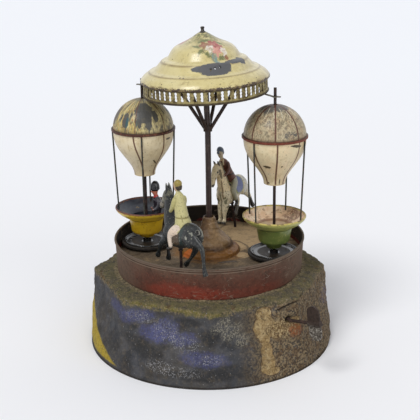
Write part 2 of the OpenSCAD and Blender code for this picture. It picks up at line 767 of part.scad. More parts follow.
// Spun canopy: skirt, two raised rings, dome and concave peak
canopy_outline = concat(
    [[canopy_r, canopy_z - 0.4], [canopy_r, canopy_z + 0.7]],
    smooth([[canopy_r - 0.4, canopy_z + 1.5], [55, canopy_z + 4.6], [51, canopy_z + 7.4],
        [49.2, canopy_z + 8.7], [46.6, canopy_z + 9.6], [44.4, canopy_z + 10.6],
        [41.2, canopy_z + 14], [39.2, canopy_z + 16.2], [38, canopy_z + 17.5], [35.8, canopy_z + 18.5],
        [33, canopy_z + 19.4], [31, canopy_z + 22.2], [29.2, canopy_z + 25], [26.6, canopy_z + 28],
        [22.2, canopy_z + 30.6], [16.2, canopy_z + 33.2], [10.8, canopy_z + 36], [6.8, canopy_z + 38.6],
        [3.7, canopy_z + 40.4]], 3));
module canopy() {
    color([0.85, 0.79, 0.58]) leaning() difference() {
        spun(canopy_outline, [-tin, -tin]);
        for (hole = [[5.6, -40.1], [9.3, -38.9], [13.6, -37.1]]) translate(concat(hole, canopy_z))
            cylinder(r = 1, h = 40, $fn = 24);
        broken_rim();
    }
}

// Piece broken out of the rim at the back, which lets light through to the holes in front
module broken_rim() {
    translate([3.2, 53, canopy_z - 3]) cube([14.4, 8, 4]);
}

// Pierced band under the rim, with a bead and a narrow inner flange at its foot
module gallery() {
    slot_h = 5.4;
    slot_w = 1.75;
    lobe_r = 1.32;
    mid_z = gallery_z + 7.4;
    color([0.4, 0.34, 0.2]) leaning() difference() {
        rotate_extrude($fn = fine) {
            polygon([[gallery_r - tin, gallery_z], [gallery_r, gallery_z], [gallery_r, canopy_z + 1.2],
                [gallery_r - tin, canopy_z + 1.2]]);
            translate([gallery_r, gallery_z + 0.9]) circle(r = 0.9, $fn = 24);
            polygon([[50, gallery_z], [gallery_r - 0.1, gallery_z], [gallery_r - 0.1, gallery_z + 0.7],
                [50, gallery_z + 0.7]]);
        }
        for (i = [0:gallery_slots - 1]) rotate([0, 0, 360 * (i + 0.5) / gallery_slots])
            translate([gallery_r - 3, 0, mid_z]) rotate([90, 0, 90]) linear_extrude(height = 6) {
                square([slot_w, slot_h], center = true);
                for (y = [-slot_h / 2, 0, slot_h / 2]) translate([0, y]) circle(r = lobe_r, $fn = 24);
            }
        broken_rim();
    }
}

// Flat eye round a balloon rod, in the balloon's own frame
module rod_eye(z) {
    translate([0, 0, z]) cylinder(r = 2.7, h = 0.8, $fn = 48);
    translate([0, -1.3, z]) cube([5, 2.6, 0.8]);
}

// Two tin arms with eyes for the balloon rods. The right one slopes down from the foot of the
// gallery, the left one stands out from a tab on the side of the gallery.
module hanger_arms() {
    eye_z = [235.2, 240.8];
    color([0.6, 0.58, 0.52]) difference() {
        union() {
            at_balloon(0) rod_eye(eye_z[0]);
            rotate([90, 0, orbit_angle]) translate([0, 0, -1.3]) linear_extrude(height = 2.6)
                polygon([[50.6, eye_z[0] + 3.1], [51.8, eye_z[0] + 3.1], [61, eye_z[0] + 0.8], [62, eye_z[0] + 0.8],
                    [62, eye_z[0]], [60.4, eye_z[0]], [50.6, eye_z[0] + 2.4]]);
            leaning() rotate([0, 0, orbit_angle]) translate([50.1, -1.3, gallery_z - 0.82])
                cube([2.2, 2.6, 0.8]);
            at_balloon(180) rod_eye(eye_z[1]);
            rotate([0, 0, orbit_angle]) translate([-orbit_r, -1.3, eye_z[1]]) cube([5, 2.6, 0.8]);
            leaning() rotate([0, 0, orbit_angle]) translate([-gallery_r - 0.85, -1.3, gallery_z + 4])
                cube([0.8, 2.6, 7]);
        }
        for (side = [0, 180]) at_balloon(side) translate([0, 0, gallery_z - 9])
            cylinder(r = rod_r + run, h = 20, $fn = 48);
    }
}

module finial() {
    color([0.2, 0.18, 0.16]) leaning() rotate_extrude($fn = 48) translate([0, post_top_z + 0.45])
        polygon([[0, 0], [2.6, 0], [2.6, 0.6], [1.6, 1.2], [1.35, 3], [1.8, 3.5], [1.8, 4.6], [1.2, 5], [0, 5]]);
}

// Tilts a child to the left about the bend of a peg, just above the deck
peg_bend = 1.7;
module peg_tilt(tilt) {
    translate([0, 0, peg_bend]) rotate([0, -tilt, 0]) translate([0, 0, -peg_bend]) children();
}

// Pegs with a washer under the deck and a collar under the horse
module horse_pegs() {
    color([0.25, 0.22, 0.2]) for (p = [[dark_peg_angle, 0], [white_peg_angle, white_lean]])
        translate(concat(polar(peg_orbit_r, p[0]), deck_z)) {
            translate([0, 0, -3]) cylinder(r = peg_r, h = 3 + peg_bend, $fn = 48);
            translate([0, 0, -deck_t - 1.02]) cylinder(r = 3, h = 1, $fn = 48);
            translate([0, 0, peg_bend]) sphere(r = peg_r + 0.12, $fn = 48);
            peg_tilt(p[1]) {
                translate([0, 0, peg_bend]) cylinder(r = peg_r, h = peg_top_z - deck_z - peg_bend, $fn = 48);
                translate([0, 0, peg_collar_z - deck_z - 1]) cylinder(r = 2.2, h = 1, $fn = 48);
            }
        }
}

// Balloon rod with a collar under the deck
module balloon_rod(more = 0) {
    translate([0, 0, deck_z - 5]) cylinder(r = rod_r, h = rod_top_z - deck_z + 5 + more, $fn = 48);
    translate([0, 0, deck_z - 5]) cylinder(r = 2.8, h = 3.6, $fn = 48);
}

// Upper half of an envelope: half a globe
module envelope_top() {
    dome = [for (a = [0:6:84]) [envelope_r * cos(a), ring_z + envelope_up * sin(a)]];
    top = concat(dome, [[rod_r + tin + 0.04, ring_z + envelope_up - 0.05]]);
    spun(top, [-tin, -0.5]);
}

// Lower half of an envelope: it narrows along half a cosine wave to the neck
function envelope_low_r(t) = neck_r + (envelope_r - neck_r) * (1 + cos(180 * pow(t, 1.25))) / 2;
module envelope_bottom() {
    steps = 20;
    wall = [for (i = [0:steps]) let (t = i / steps)
        [envelope_low_r(t), ring_z - 0.6 + (neck_z - ring_z + 0.6) * t]];
    difference() {
        union() {
            spun(wall, [-tin, 0.02]);
            translate([0, 0, neck_z]) cylinder(r = neck_r - 0.1, h = tin, $fn = fine);
        }
        translate([0, 0, neck_z - 1]) cylinder(r = rod_r + snug, h = 4, $fn = 48);
    }
}

// Flat ring round the envelope and four wires down to the flange of the gondola
wire_r = 0.75;
ring_t = 1.5;
module rigging(wire_angles, drop) {
    inner = envelope_r + snug;
    head = [inner + ring_t / 2, ring_z - 0.3];
    foot = [gondola_r - 3.2, gondola_z - drop - 3.2];
    difference() {
        union() {
            translate([0, 0, ring_z]) rotate_extrude($fn = fine)
                polygon([[inner, -1.3], [inner + ring_t - 0.5, -1.3], [inner + ring_t, -0.8],
                    [inner + ring_t, 0.8], [inner + ring_t - 0.5, 1.3], [inner, 1.3]]);
            for (a = wire_angles) rotate([0, 0, a]) translate([foot[0], 0, foot[1]])
                rotate([0, atan2(head[0] - foot[0], head[1] - foot[1]), 0])
                    cylinder(r = wire_r, h = norm(head - foot), $fn = 24);
        }
        gondola(drop);
    }
}

// Angle of a wire in the world, from the front towards the right, in a balloon's own frame
function wire_angle(from_front, side) = from_front - 90 - orbit_angle - side;

// Gondola: flared rim, tapered cup and a small foot. The foot stands at the same height on both.
gondola_foot_z = 94.8;
module gondola(drop) {
    rim_z = gondola_z - drop;
    outline = concat(
        [[gondola_r, rim_z], [gondola_r, rim_z - 0.7]],
        smooth([[gondola_r - 1, rim_z - 2.6], [24.5, rim_z - 6], [19.6, rim_z - 9], [17.2, rim_z - 10.6]], 3),
        [[16.5, rim_z - 11.2], [14.5, rim_z - 23]],
        smooth([[13.7, rim_z - 24.5], [11.4, rim_z - 25.2], [9, rim_z - 26], [8.4, rim_z - 27.2],
            [6.6, gondola_foot_z]], 3));
    difference() {
        union() {
            spun(outline, [-tin, 0.7]);
            translate([0, 0, gondola_foot_z]) cylinder(r = 6.4, h = 1, $fn = fine);
        }
        translate([0, 0, gondola_foot_z - 2]) cylinder(r = rod_r + snug, h = 8, $fn = 48);
    }
}

// Wheel that spins the balloon: a hub, a dished web and a rim with a rolled lip over the tyre
module friction_wheel() {
    rim_r = tyre_r - 2.6;
    difference() {
        union() {
            translate([0, 0, deck_z + 0.3]) cylinder(r = 4, h = wheel_top_z - deck_z + 1.2, $fn = fine);
            rotate_extrude($fn = fine) polygon([[3, wheel_top_z - 2], [rim_r - 3, wheel_top_z - 1.2],
                [rim_r - 1.4, wheel_top_z], [rim_r, wheel_top_z], [rim_r, deck_z + 2.8],
                [rim_r - 0.8, deck_z + 2.8], [rim_r - 1, wheel_top_z - 1.2], [rim_r - 3, wheel_top_z - 2],
                [3, wheel_top_z - 2.8]]);
            rotate_extrude($fn = fine) translate([rim_r - 0.5, wheel_top_z]) circle(r = 0.7, $fn = 24);
        }
        translate([0, 0, deck_z]) cylinder(r = rod_r + snug, h = 10, $fn = 48);
    }
}

module friction_tyre() {
    translate([0, 0, deck_z]) rotate_extrude($fn = fine) polygon([[tyre_r - 2.58, 3], [tyre_r - 0.5, 3],
        [tyre_r, 3.4], [tyre_r, 5.2], [tyre_r - 0.5, 5.6], [tyre_r - 2.58, 5.6]]);
}

left_wires = [for (a = [-92, 0, 82, 174]) wire_angle(a, 180)];
right_wires = [for (a = [152, 62, -43, -123]) wire_angle(a, 0)];

module rod_left() { color([0.16, 0.13, 0.12]) at_balloon(180) balloon_rod(3); }
module envelope_top_left() { color([0.7, 0.64, 0.45]) at_balloon(180) envelope_top(); }
module envelope_bottom_left() { color([0.84, 0.8, 0.66]) at_balloon(180) envelope_bottom(); }
module rigging_left() { color([0.3, 0.16, 0.13]) at_balloon(180) rigging(left_wires, left_drop); }
module gondola_left() { color([0.8, 0.66, 0.1]) at_balloon(180) gondola(left_drop); }
module friction_wheel_left() { color([0.1, 0.1, 0.1]) at_balloon(180) friction_wheel(); }
module tyre_left() { color([0.08, 0.07, 0.06]) at_balloon(180) friction_tyre(); }
module rod_right() { color([0.16, 0.13, 0.12]) at_balloon(0) balloon_rod(); }
module envelope_top_right() { color([0.62, 0.57, 0.45]) at_balloon(0) envelope_top(); }
module envelope_bottom_right() { color([0.84, 0.8, 0.66]) at_balloon(0) envelope_bottom(); }
module rigging_right() { color([0.35, 0.16, 0.12]) at_balloon(0) rigging(right_wires, 0); }
module gondola_right() { color([0.36, 0.46, 0.2]) at_balloon(0) gondola(0); }
module friction_wheel_right() { color([0.1, 0.1, 0.1]) at_balloon(0) friction_wheel(); }
module tyre_right() { color([0.08, 0.07, 0.06]) at_balloon(0) friction_tyre(); }

// Small seated passenger in the left gondola, leaning towards the rod
module passenger() {
    place = concat(polar(orbit_r, orbit_angle + 180), gondola_z - left_drop) + [11.5, 3, 0];
    color([0.2, 0.16, 0.2]) translate(place) rotate([0, 0, 197]) {
        limb([[4.6, -24.2, 4, 4, 0], [4.6, -17, 4.8, 4.8, 0], [2.6, -9, 4.6, 5, 0], [0.6, -2, 4, 4.6, 0],
            [1, 4, 3.6, 4.4, 0], [1.8, 7.5, 2.4, 3, 0], [2.2, 9, 1.8, 1.9, 0], [2.5, 10.5, 2.4, 2.3, 0],
            [2.8, 13, 3.2, 3, 0], [2.8, 15.6, 4.7, 4.5, 0], [2.7, 18.6, 4.5, 4.4, 0],
            [2.4, 21.8, 3.4, 3.3, 0], [2.2, 23.6, 1.4, 1.4, 0]], 16);
        for (s = [-1, 1]) limb([[0.4, 4.5, 1.8, 1.5, 4.2 * s], [1.6, -1, 1.6, 1.4, 4.8 * s],
            [4.4, -4, 1.3, 1.3, 4 * s], [6.4, -4.2, 0.9, 0.9, 3 * s]], 8);
    }
}

// Horses in their own frame: forward is +X, the peg is at the origin and heights are from the deck
module dark_body() {
    limb([[20.6, 37.5, 2.4, 2, 0], [19.2, 37.7, 6.4, 4.4, 0], [15, 38.2, 9.8, 6.6, 0], [8, 38.6, 11.2, 7.8, 0],
        [0, 38.8, 11.6, 8.2, 0], [-6, 40.2, 11, 8.2, 0], [-12, 43, 11.2, 8.4, 0], [-17.6, 45, 9.8, 7.8, 0],
        [-22, 44.8, 7, 6, 0], [-24.8, 44, 3.2, 3, 0]], 16);
}

module white_body() {
    limb([[18.6, 35, 2.4, 2, 0], [17.2, 35.4, 6.2, 4.4, 0], [14, 36.6, 9.4, 6.6, 0], [7, 38, 11, 7.8, 0],
        [0, 38.6, 11.2, 8.2, 0], [-7, 39.4, 10.6, 8.2, 0], [-13, 40.6, 10.8, 8.4, 0], [-18, 41, 9.4, 8, 0],
        [-22, 40, 6.6, 6, 0], [-24.6, 39, 3.2, 3, 0]], 16);
}

// Upright neck and tucked head
module dark_neck() {
    limb([[9.6, 37, 8.4, 5.6, 0], [13.2, 46, 8.4, 5.2, 0], [15.2, 55, 7.2, 4.4, 0], [15.6, 63, 5.8, 3.7, 0],
        [15.4, 70, 4.8, 3.3, 0], [15.4, 75, 3.2, 2.5, 0], [15.4, 77, 1.2, 1, 0]]);
    limb([[12.4, 75.2, 1.6, 1.4, 0], [14, 74.6, 3.8, 2.8, 0], [17.4, 72.8, 4.7, 3.3, 0], [20.6, 68.4, 4.3, 3, 0],
        [23.6, 63.8, 3.3, 2.5, 0], [25.8, 60.4, 3, 2.4, 0], [27.2, 58.4, 1.6, 1.5, 0]]);
    limb([[3.6, 49, 2.4, 1.2, 0], [6.4, 54, 3, 1.6, 0], [8.8, 63, 2.8, 1.5, 0], [10.8, 71, 2.6, 1.4, 0],
        [13.6, 77.2, 1.8, 1.2, 0]], 8);
    for (s = [-1, 1]) limb([[15.6, 75, 2.8, 1.6, 1.3 * s], [16.6, 79, 2, 1.2, 1.4 * s],
        [17.6, 83.4, 0.4, 0.3, 1.4 * s]], 8);
}

// Neck and head reaching a little forward
module white_neck() {
    limb([[9, 37, 8.6, 5.6, 0], [11.6, 46, 8.2, 5, 0], [13.4, 55, 6.6, 4.3, 0], [15, 62.5, 5.6, 3.7, 0],
        [16.4, 68.5, 4.6, 3.2, 0], [17, 71.5, 2.8, 2.2, 0]]);
    limb([[15.4, 70.4, 1.6, 1.4, 0], [17.4, 69.6, 3.8, 2.8, 0], [21, 67.8, 4.7, 3.3, 0], [24.6, 63.4, 4.3, 3, 0],
        [28, 58.8, 3.3, 2.5, 0], [30.6, 55.4, 3, 2.4, 0], [32, 53.4, 1.6, 1.5, 0]]);
    limb([[3.2, 48.6, 2.4, 1.2, 0], [5.4, 54, 2.8, 1.5, 0], [8.2, 62.6, 2.6, 1.5, 0], [11.4, 69, 2.4, 1.4, 0],
        [14.4, 72.6, 1.6, 1.1, 0]], 8);
    for (s = [-1, 1]) limb([[17.4, 70.6, 1.6, 1, 1.9 * s], [18.4, 73.2, 1.3, 0.9, 2.1 * s],
        [19.6, 75.8, 0.3, 0.25, 2.2 * s]], 8);
}

module dark_horse_form() {
    dark_body();
    dark_neck();
    limb([[14, 35, 5, 3, 4.2], [19, 29.8, 3.8, 2.8, 4.6], [22.8, 25.4, 2.7, 2.2, 4.8], [25.2, 21.4, 1.9, 1.6, 4.8],
        [26.6, 18, 1.9, 1.6, 4.8], [27.6, 15.6, 2.4, 2, 4.8], [28.6, 13.4, 2.3, 2.1, 4.8]], 8);
    limb([[13, 34, 5, 3, -4.2], [19, 28, 3.8, 2.8, -4.6], [24, 24, 2.6, 2.2, -4.8], [26, 19.6, 1.9, 1.6, -4.8],
        [25.6, 14.6, 1.9, 1.6, -4.8], [25.2, 11, 2.3, 2, -4.8], [26, 8.4, 2.2, 2, -4.8]], 8);
    limb([[-18, 43.4, 9, 3.4, 4.4], [-25, 42.6, 6.6, 3.4, 4.6], [-31, 41, 4.2, 2.6, 4.8],
        [-36, 38.4, 2.8, 2.1, 4.8], [-38, 32.4, 2, 1.7, 4.8], [-38.8, 26, 1.8, 1.6, 4.8],
        [-39.4, 20.8, 1.9, 1.7, 4.8], [-40.4, 17.2, 2.3, 2, 4.8], [-41.4, 14.8, 2, 1.8, 4.8]], 8);
    limb([[-17, 43, 9, 3.4, -4.4], [-16, 35, 6.4, 3.4, -4.8], [-14.8, 29.6, 3.6, 2.6, -5], [-12.6, 25.4, 2.5, 2, -5],
        [-8, 19.4, 1.9, 1.6, -5], [-3.6, 14.4, 2, 1.7, -5], [-1.2, 11.6, 2.3, 2, -5], [0.6, 9.8, 1.6, 1.5, -5]], 8);
}

module white_horse_form() {
    white_body();
    white_neck();
    limb([[14, 34, 5.4, 3, 3.6], [18, 27.4, 4, 2.8, 3.2], [20.8, 22.6, 2.7, 2.2, 3], [22, 18.4, 1.9, 1.6, 3],
        [23, 15.8, 2, 1.7, 3], [24.4, 14, 2.3, 2, 3], [25.4, 12.6, 1.8, 1.7, 3]], 8);
    limb([[12.6, 33, 6.4, 5.2, 0], [15.6, 28.4, 5, 4.4, 0], [18, 25, 3.4, 3.4, 0], [19.4, 23, 1.4, 1.8, 0]]);
    limb([[13, 34, 5.4, 3, -3.6], [16.6, 27.4, 4, 2.8, -3.2], [19.4, 22.4, 2.7, 2.2, -3], [20.6, 18, 1.9, 1.6, -3],
        [21.4, 15.2, 2, 1.7, -3], [22.8, 13.4, 2.3, 2, -3], [23.8, 12, 1.8, 1.7, -3]], 8);
    limb([[-16, 40, 9, 3.4, 4.4], [-19.4, 34, 6.4, 3.4, 4.8], [-22.6, 29, 3.8, 2.6, 5], [-26, 24.8, 2.6, 2, 5],
        [-28, 20.4, 1.9, 1.6, 5], [-29, 16.6, 2, 1.8, 5], [-29.8, 14.2, 2.3, 2, 5], [-30.6, 12.4, 1.8, 1.7, 5]], 8);
    limb([[-17, 40, 9, 3.4, -4.4], [-16.6, 33, 6.4, 3.4, -4.6], [-16.6, 27, 3.6, 2.6, -4.5],
        [-17.4, 22.6, 2.5, 2, -4], [-14.8, 17, 1.9, 1.6, -3.7], [-11.8, 13, 2, 1.7, -3.6],
        [-9.6, 10.6, 2.4, 2, -3.6], [-8, 9.2, 1.6, 1.5, -3.6]], 8);
    limb([[-22, 44.4, 1.8, 1.5, 0], [-25, 42.4, 2, 1.7, 0], [-26.4, 37, 1.8, 1.5, 0], [-26.2, 33, 1, 0.9, 0]], 8);
}

// Places a figure on its peg, facing its heading
module on_peg(angle, heading, tilt = 0) {
    translate(concat(polar(peg_orbit_r, angle), deck_z)) peg_tilt(tilt) rotate([0, 0, heading]) children();
}

// Blind hole in the belly that turns on the peg
module peg_hole() {
    cylinder(r = peg_r + 0.25, h = peg_top_z - deck_z + 0.5, $fn = 24);
    cylinder(r = 2.5, h = peg_collar_z - deck_z + 0.3, $fn = 24);
}

module dark_horse() {
    color([0.24, 0.27, 0.26]) on_peg(dark_peg_angle, dark_heading) difference() {
        dark_horse_form();
        peg_hole();
    }
}

module white_horse() {
    color([0.8, 0.78, 0.7]) on_peg(white_peg_angle, white_heading, white_lean) difference() {
        white_horse_form();
        peg_hole();
    }
}

// Upright rider in a long coat
module dark_rider_form() {
    limb([[-4.4, 43, 7.4, 8, 0], [-4.4, 50, 7.2, 7.8, 0], [-3, 56, 5.8, 6.6, 0], [-1.4, 63, 5, 5.8, 0],
        [0.2, 70, 4.6, 5.6, 0], [1, 74.6, 4, 4.8, 0], [1.6, 77.6, 2.4, 3, 0], [2, 79, 1.9, 2, 0],
        [2.5, 80.8, 2.6, 2.4, 0], [3, 83.8, 3.6, 3.1, 0], [3.1, 86.6, 3.6, 3.2, 0], [2.9, 88.6, 2.4, 2.2, 0],
        [2.8, 89.4, 1, 0.9, 0]], 16);
    for (s = [-1, 1]) {
        limb([[0.4, 74.6, 2, 1.6, 4.4 * s], [0.6, 71.2, 2.3, 2, 5.4 * s], [3, 65, 2.1, 1.8, 6 * s],
            [7, 61, 1.8, 1.6, 5 * s], [11, 60, 1.5, 1.4, 3 * s]], 8);
        limb([[-5, 49, 5, 3, 5 * s], [-1, 45.6, 4.6, 3, 6.6 * s], [4, 40.6, 3.8, 2.4, 7.6 * s],
            [4.6, 35, 3, 2, 8 * s], [3.8, 29.8, 2.2, 1.8, 8 * s], [5.8, 27.4, 1.7, 1.6, 8.2 * s],
            [8.2, 26.6, 1.1, 1.2, 8.2 * s]], 8);
    }
}

// Rider in a jacket and cap, leaning forward
module white_rider_form() {
    limb([[-3.4, 44, 7, 7.4, 0], [-3, 50, 6.4, 6.8, 0], [-0.6, 56, 5.2, 5.8, 0], [2, 62, 4.8, 5.4, 0],
        [4.6, 67.6, 4.4, 5.4, 0], [6.2, 71.6, 3.6, 4.6, 0], [7, 74, 2.3, 3, 0], [7.6, 75.6, 1.9, 1.9, 0],
        [8, 77.2, 2.6, 2.4, 0], [8.8, 80, 3.6, 3.1, 0], [9.2, 83, 3.7, 3.3, 0], [9.2, 85.6, 2.8, 2.6, 0],
        [9, 87.2, 1, 0.9, 0]], 16);
    for (s = [-1, 1]) {
        limb([[5.4, 71, 2, 1.6, 4.4 * s], [6, 67.4, 2.2, 1.9, 5.6 * s], [8.6, 62, 1.9, 1.7, 6 * s],
            [12.6, 59.6, 1.6, 1.5, 4.6 * s], [15, 59.4, 1.3, 1.3, 3.4 * s]], 8);
        limb([[-3, 48.6, 4.6, 3, 5.2 * s], [2, 46.4, 4.2, 3, 7 * s], [7.4, 42, 3.6, 2.4, 8.2 * s],
            [7, 36.4, 2.9, 2, 8.8 * s], [5.4, 30.6, 2.3, 1.9, 9 * s], [6.2, 27.8, 1.8, 1.7, 9.2 * s],
            [9, 26.6, 1.2, 1.2, 9.2 * s]], 8);
    }
}

module dark_rider() {
    color([0.72, 0.72, 0.5]) on_peg(dark_peg_angle, dark_heading) difference() {
        dark_rider_form();
        dark_body();
        dark_neck();
    }
}

module white_rider() {
    color([0.38, 0.17, 0.14]) on_peg(white_peg_angle, white_heading, white_lean) difference() {
        white_rider_form();
        white_body();
        white_neck();
    }
}

base_shell();
bottom_board();
board_tacks();
drum_pan();
pan_screws();
spindle_bush();
footstep_cup();
back_plate();
front_plate();
frame_pillars();
pillar_nuts();
frame_screws();
ratchet_click();
music_comb();
comb_bracket();
comb_screws();
winding_key();
winding_arbor();
ratchet_wheel();
spring_barrel();
barrel_cap();
mainspring();
crown_wheel();
second_arbor();
second_wheel();
third_arbor();
third_wheel();
fan_arbor();
fan_vanes();
spindle();
spindle_pinion();
music_drum();
deck();
mound();
post();
struts();
canopy();
gallery();
hanger_arms();
finial();
horse_pegs();
rod_left();
envelope_top_left();
envelope_bottom_left();
rigging_left();
gondola_left();
friction_wheel_left();
tyre_left();
passenger();
rod_right();
envelope_top_right();
envelope_bottom_right();
rigging_right();
gondola_right();
friction_wheel_right();
tyre_right();
dark_horse();
dark_rider();
white_horse();
white_rider();
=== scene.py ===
import json
import math

import bpy
import numpy as np
from mathutils import Matrix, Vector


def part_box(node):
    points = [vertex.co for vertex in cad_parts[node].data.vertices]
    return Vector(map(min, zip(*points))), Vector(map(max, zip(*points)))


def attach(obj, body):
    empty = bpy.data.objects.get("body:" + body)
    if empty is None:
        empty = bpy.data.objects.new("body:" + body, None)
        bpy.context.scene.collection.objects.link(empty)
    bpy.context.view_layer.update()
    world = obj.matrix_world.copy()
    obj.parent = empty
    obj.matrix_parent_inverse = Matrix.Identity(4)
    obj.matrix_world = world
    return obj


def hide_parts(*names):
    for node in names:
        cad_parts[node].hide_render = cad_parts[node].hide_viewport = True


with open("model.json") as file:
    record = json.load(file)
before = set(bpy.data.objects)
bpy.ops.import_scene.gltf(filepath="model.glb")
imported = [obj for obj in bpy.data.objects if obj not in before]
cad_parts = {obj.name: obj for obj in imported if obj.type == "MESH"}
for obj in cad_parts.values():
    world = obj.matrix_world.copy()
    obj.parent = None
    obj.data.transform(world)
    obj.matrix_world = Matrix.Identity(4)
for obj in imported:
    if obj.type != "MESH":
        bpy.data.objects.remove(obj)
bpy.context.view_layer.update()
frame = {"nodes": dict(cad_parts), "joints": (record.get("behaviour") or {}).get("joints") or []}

# The tin musical carousel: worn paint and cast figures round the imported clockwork.
# Blender works in metres; the values in this file are millimetres and degrees.
perMetre = 1000.0
jointPlace = {j["name"]: np.array(j["pos_m"]) * perMetre for j in frame["joints"]}


def nodeBox(name):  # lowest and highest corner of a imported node, in millimetres
    return [np.array(corner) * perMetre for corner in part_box(name)]


deckTop = nodeBox("deck")[1][2]
ledgeTop = nodeBox("base_shell")[1][2]
leftAxis = jointPlace["balloon_left_spin"]
rightAxis = jointPlace["balloon_right_spin"]
ringHeight = nodeBox("rigging_left")[1][2] - 1.3
canopyLean = 0.0384  # rise of the canopy per millimetre to the right


def screen(red, green, blue):  # a colour as a screen shows it, 0 to 255, turned into linear light
    shares = (red / 255, green / 255, blue / 255)
    return tuple(((s + 0.055) / 1.055) ** 2.4 if s > 0.04 else s / 12.92 for s in shares) + (1.0,)


# Lattice noise: random numbers at whole steps are blended smoothly between them, and finer,
# weaker copies are added. The answer is about -1 to 1.
def cloud(points, size, seed=0, octaves=3):
    total = np.zeros(len(points))
    for octave in range(octaves):
        place = points * (2 ** octave / size) + 31.7 * (seed + 1)
        corner = np.floor(place)
        part = place - corner
        part = part * part * (3 - 2 * part)
        value = np.zeros(len(points))
        for offset in np.ndindex(2, 2, 2):
            key = (corner + offset) @ (12.9898, 78.233, 37.719) + octave
            random = np.modf(np.abs(np.sin(key) * 43758.5453))[0] * 2 - 1
            value += random * np.where(offset, part, 1 - part).prod(axis=1)
        total += value / 2 ** octave
    return total


def ease(value, low, high):  # 0 at low, 1 at high, smooth between
    share = np.clip((value - low) / (high - low), 0, 1)
    return share * share * (3 - 2 * share)


# Shader work

class Bench:  # one node tree, with short calls for the nodes that the finishes use
    def __init__(self, tree):
        self.tree = tree

    def plug(self, socket, value):
        if isinstance(value, bpy.types.NodeSocket):
            self.tree.links.new(value, socket)
        else:
            socket.default_value = value

    def add(self, kind, sockets, **settings):
        node = self.tree.nodes.new("ShaderNode" + kind)
        for name, value in settings.items():
            setattr(node, name, value)
        for name, value in sockets.items():
            self.plug(node.inputs[name], value)
        return node

    def group(self, tree, **sockets):
        return self.add("Group", sockets, node_tree=tree).outputs

    def calc(self, operation, a, b=0.0, c=0.0):
        return self.add("Math", {0: a, 1: b, 2: c}, operation=operation).outputs[0]

    def both(self, a, b):
        return self.calc("MULTIPLY", a, b)

    def either(self, a, b):
        return self.calc("MAXIMUM", a, b)

    def step(self, value, low, high):  # 0 at low, 1 at high
        sockets = {"Value": value, "From Min": low, "From Max": high}
        return self.add("MapRange", sockets, interpolation_type="SMOOTHSTEP").outputs[0]

    def between(self, value, low, high, soft):  # 1 from low to high
        rise = self.step(value, low - soft, low + soft)
        return self.both(rise, self.step(value, high + soft, high - soft))

    def vector(self, operation, a, b):
        return self.add("VectorMath", {0: a, 1: b}, operation=operation).outputs[0]

    def length(self, vector):
        return self.add("VectorMath", {0: vector}, operation="LENGTH").outputs["Value"]

    def split(self, vector):
        return self.add("SeparateXYZ", {0: vector}).outputs

    def noise(self, vector, size, detail=3.0, roughness=0.6):
        scale = self.calc("DIVIDE", 1.0, size) if isinstance(size, bpy.types.NodeSocket) else 1 / size
        sockets = {"Vector": vector, "Scale": scale, "Detail": detail, "Roughness": roughness}
        return self.add("TexNoise", sockets).outputs[0]

    def mixColour(self, share, a, b):
        return self.add("Mix", {0: share, 6: a, 7: b}, data_type="RGBA").outputs[2]

    def mixValue(self, share, a, b):
        return self.add("Mix", {0: share, 2: a, 3: b}).outputs[0]

    def seen(self):  # 1 for rays that show a surface, 0 for those that light the object
        light = self.add("LightPath", {}).outputs
        mirrored = self.either(light["Is Glossy Ray"], light["Is Transmission Ray"])
        return self.either(light["Is Camera Ray"], mirrored)


zero = (0.0, 0.0, 0.0)
one = (1.0, 1.0, 1.0)
flatten = (1.0, 1.0, 0.0)
degrees = 57.2958  # of one radian


# Makes a shader group. Its inputs are a vector and names with start values.
def shaderGroup(name, outputs, build, **inputs):
    tree = bpy.data.node_groups.new(name, "ShaderNodeTree")
    for label, start in {"Vector": zero, **inputs}.items():
        kind = "NodeSocketVector" if isinstance(start, tuple) else "NodeSocketFloat"
        socket = tree.interface.new_socket(label, in_out="INPUT", socket_type=kind)
        socket.default_value = start
    for label in outputs:
        tree.interface.new_socket(label, in_out="OUTPUT", socket_type="NodeSocketFloat")
    bench = Bench(tree)
    made = build(bench, tree.nodes.new("NodeGroupInput").outputs)
    end = tree.nodes.new("NodeGroupOutput")
    for label, value in zip(outputs, made):
        bench.plug(end.inputs[label], value)
    return tree


# Round places: degrees from the front towards the right, distance from the axis, height
def buildAround(bench, given):
    moved = bench.vector("SUBTRACT", given["Vector"], given["Centre"])
    part = bench.split(moved)
    turn = bench.calc("ARCTAN2", part[0], bench.calc("MULTIPLY", part[1], -1.0))
    radius = bench.length(bench.vector("MULTIPLY", moved, flatten))
    return bench.calc("MULTIPLY", turn, degrees), radius, part[2]


# Cloudy spots that cover about the given share of a surface
def buildBlotches(bench, given):
    value = bench.noise(given["Vector"], given["Size"], 5.0, 0.62)
    middle = bench.calc("MULTIPLY_ADD", given["Share"], -0.42, 0.71)
    low = bench.calc("SUBTRACT", middle, given["Soft"])
    return [bench.step(value, low, bench.calc("ADD", middle, given["Soft"]))]


# One ragged oval
def buildPatch(bench, given):
    moved = bench.vector("SUBTRACT", given["Vector"], given["Centre"])
    turned = bench.add("VectorRotate", {"Vector": moved, "Angle": given["Turn"]}, rotation_type="Z_AXIS")
    far = bench.length(bench.vector("DIVIDE", turned.outputs[0], given["Reach"]))
    wobble = bench.calc("SUBTRACT", bench.noise(given["Vector"], given["Grain"], 5.0, 0.65), 0.5)
    edge = bench.calc("MULTIPLY_ADD", wobble, given["Ragged"], far)
    outer = bench.calc("ADD", 1.0, given["Soft"])
    return [bench.step(edge, outer, bench.calc("SUBTRACT", 1.0, given["Soft"]))]


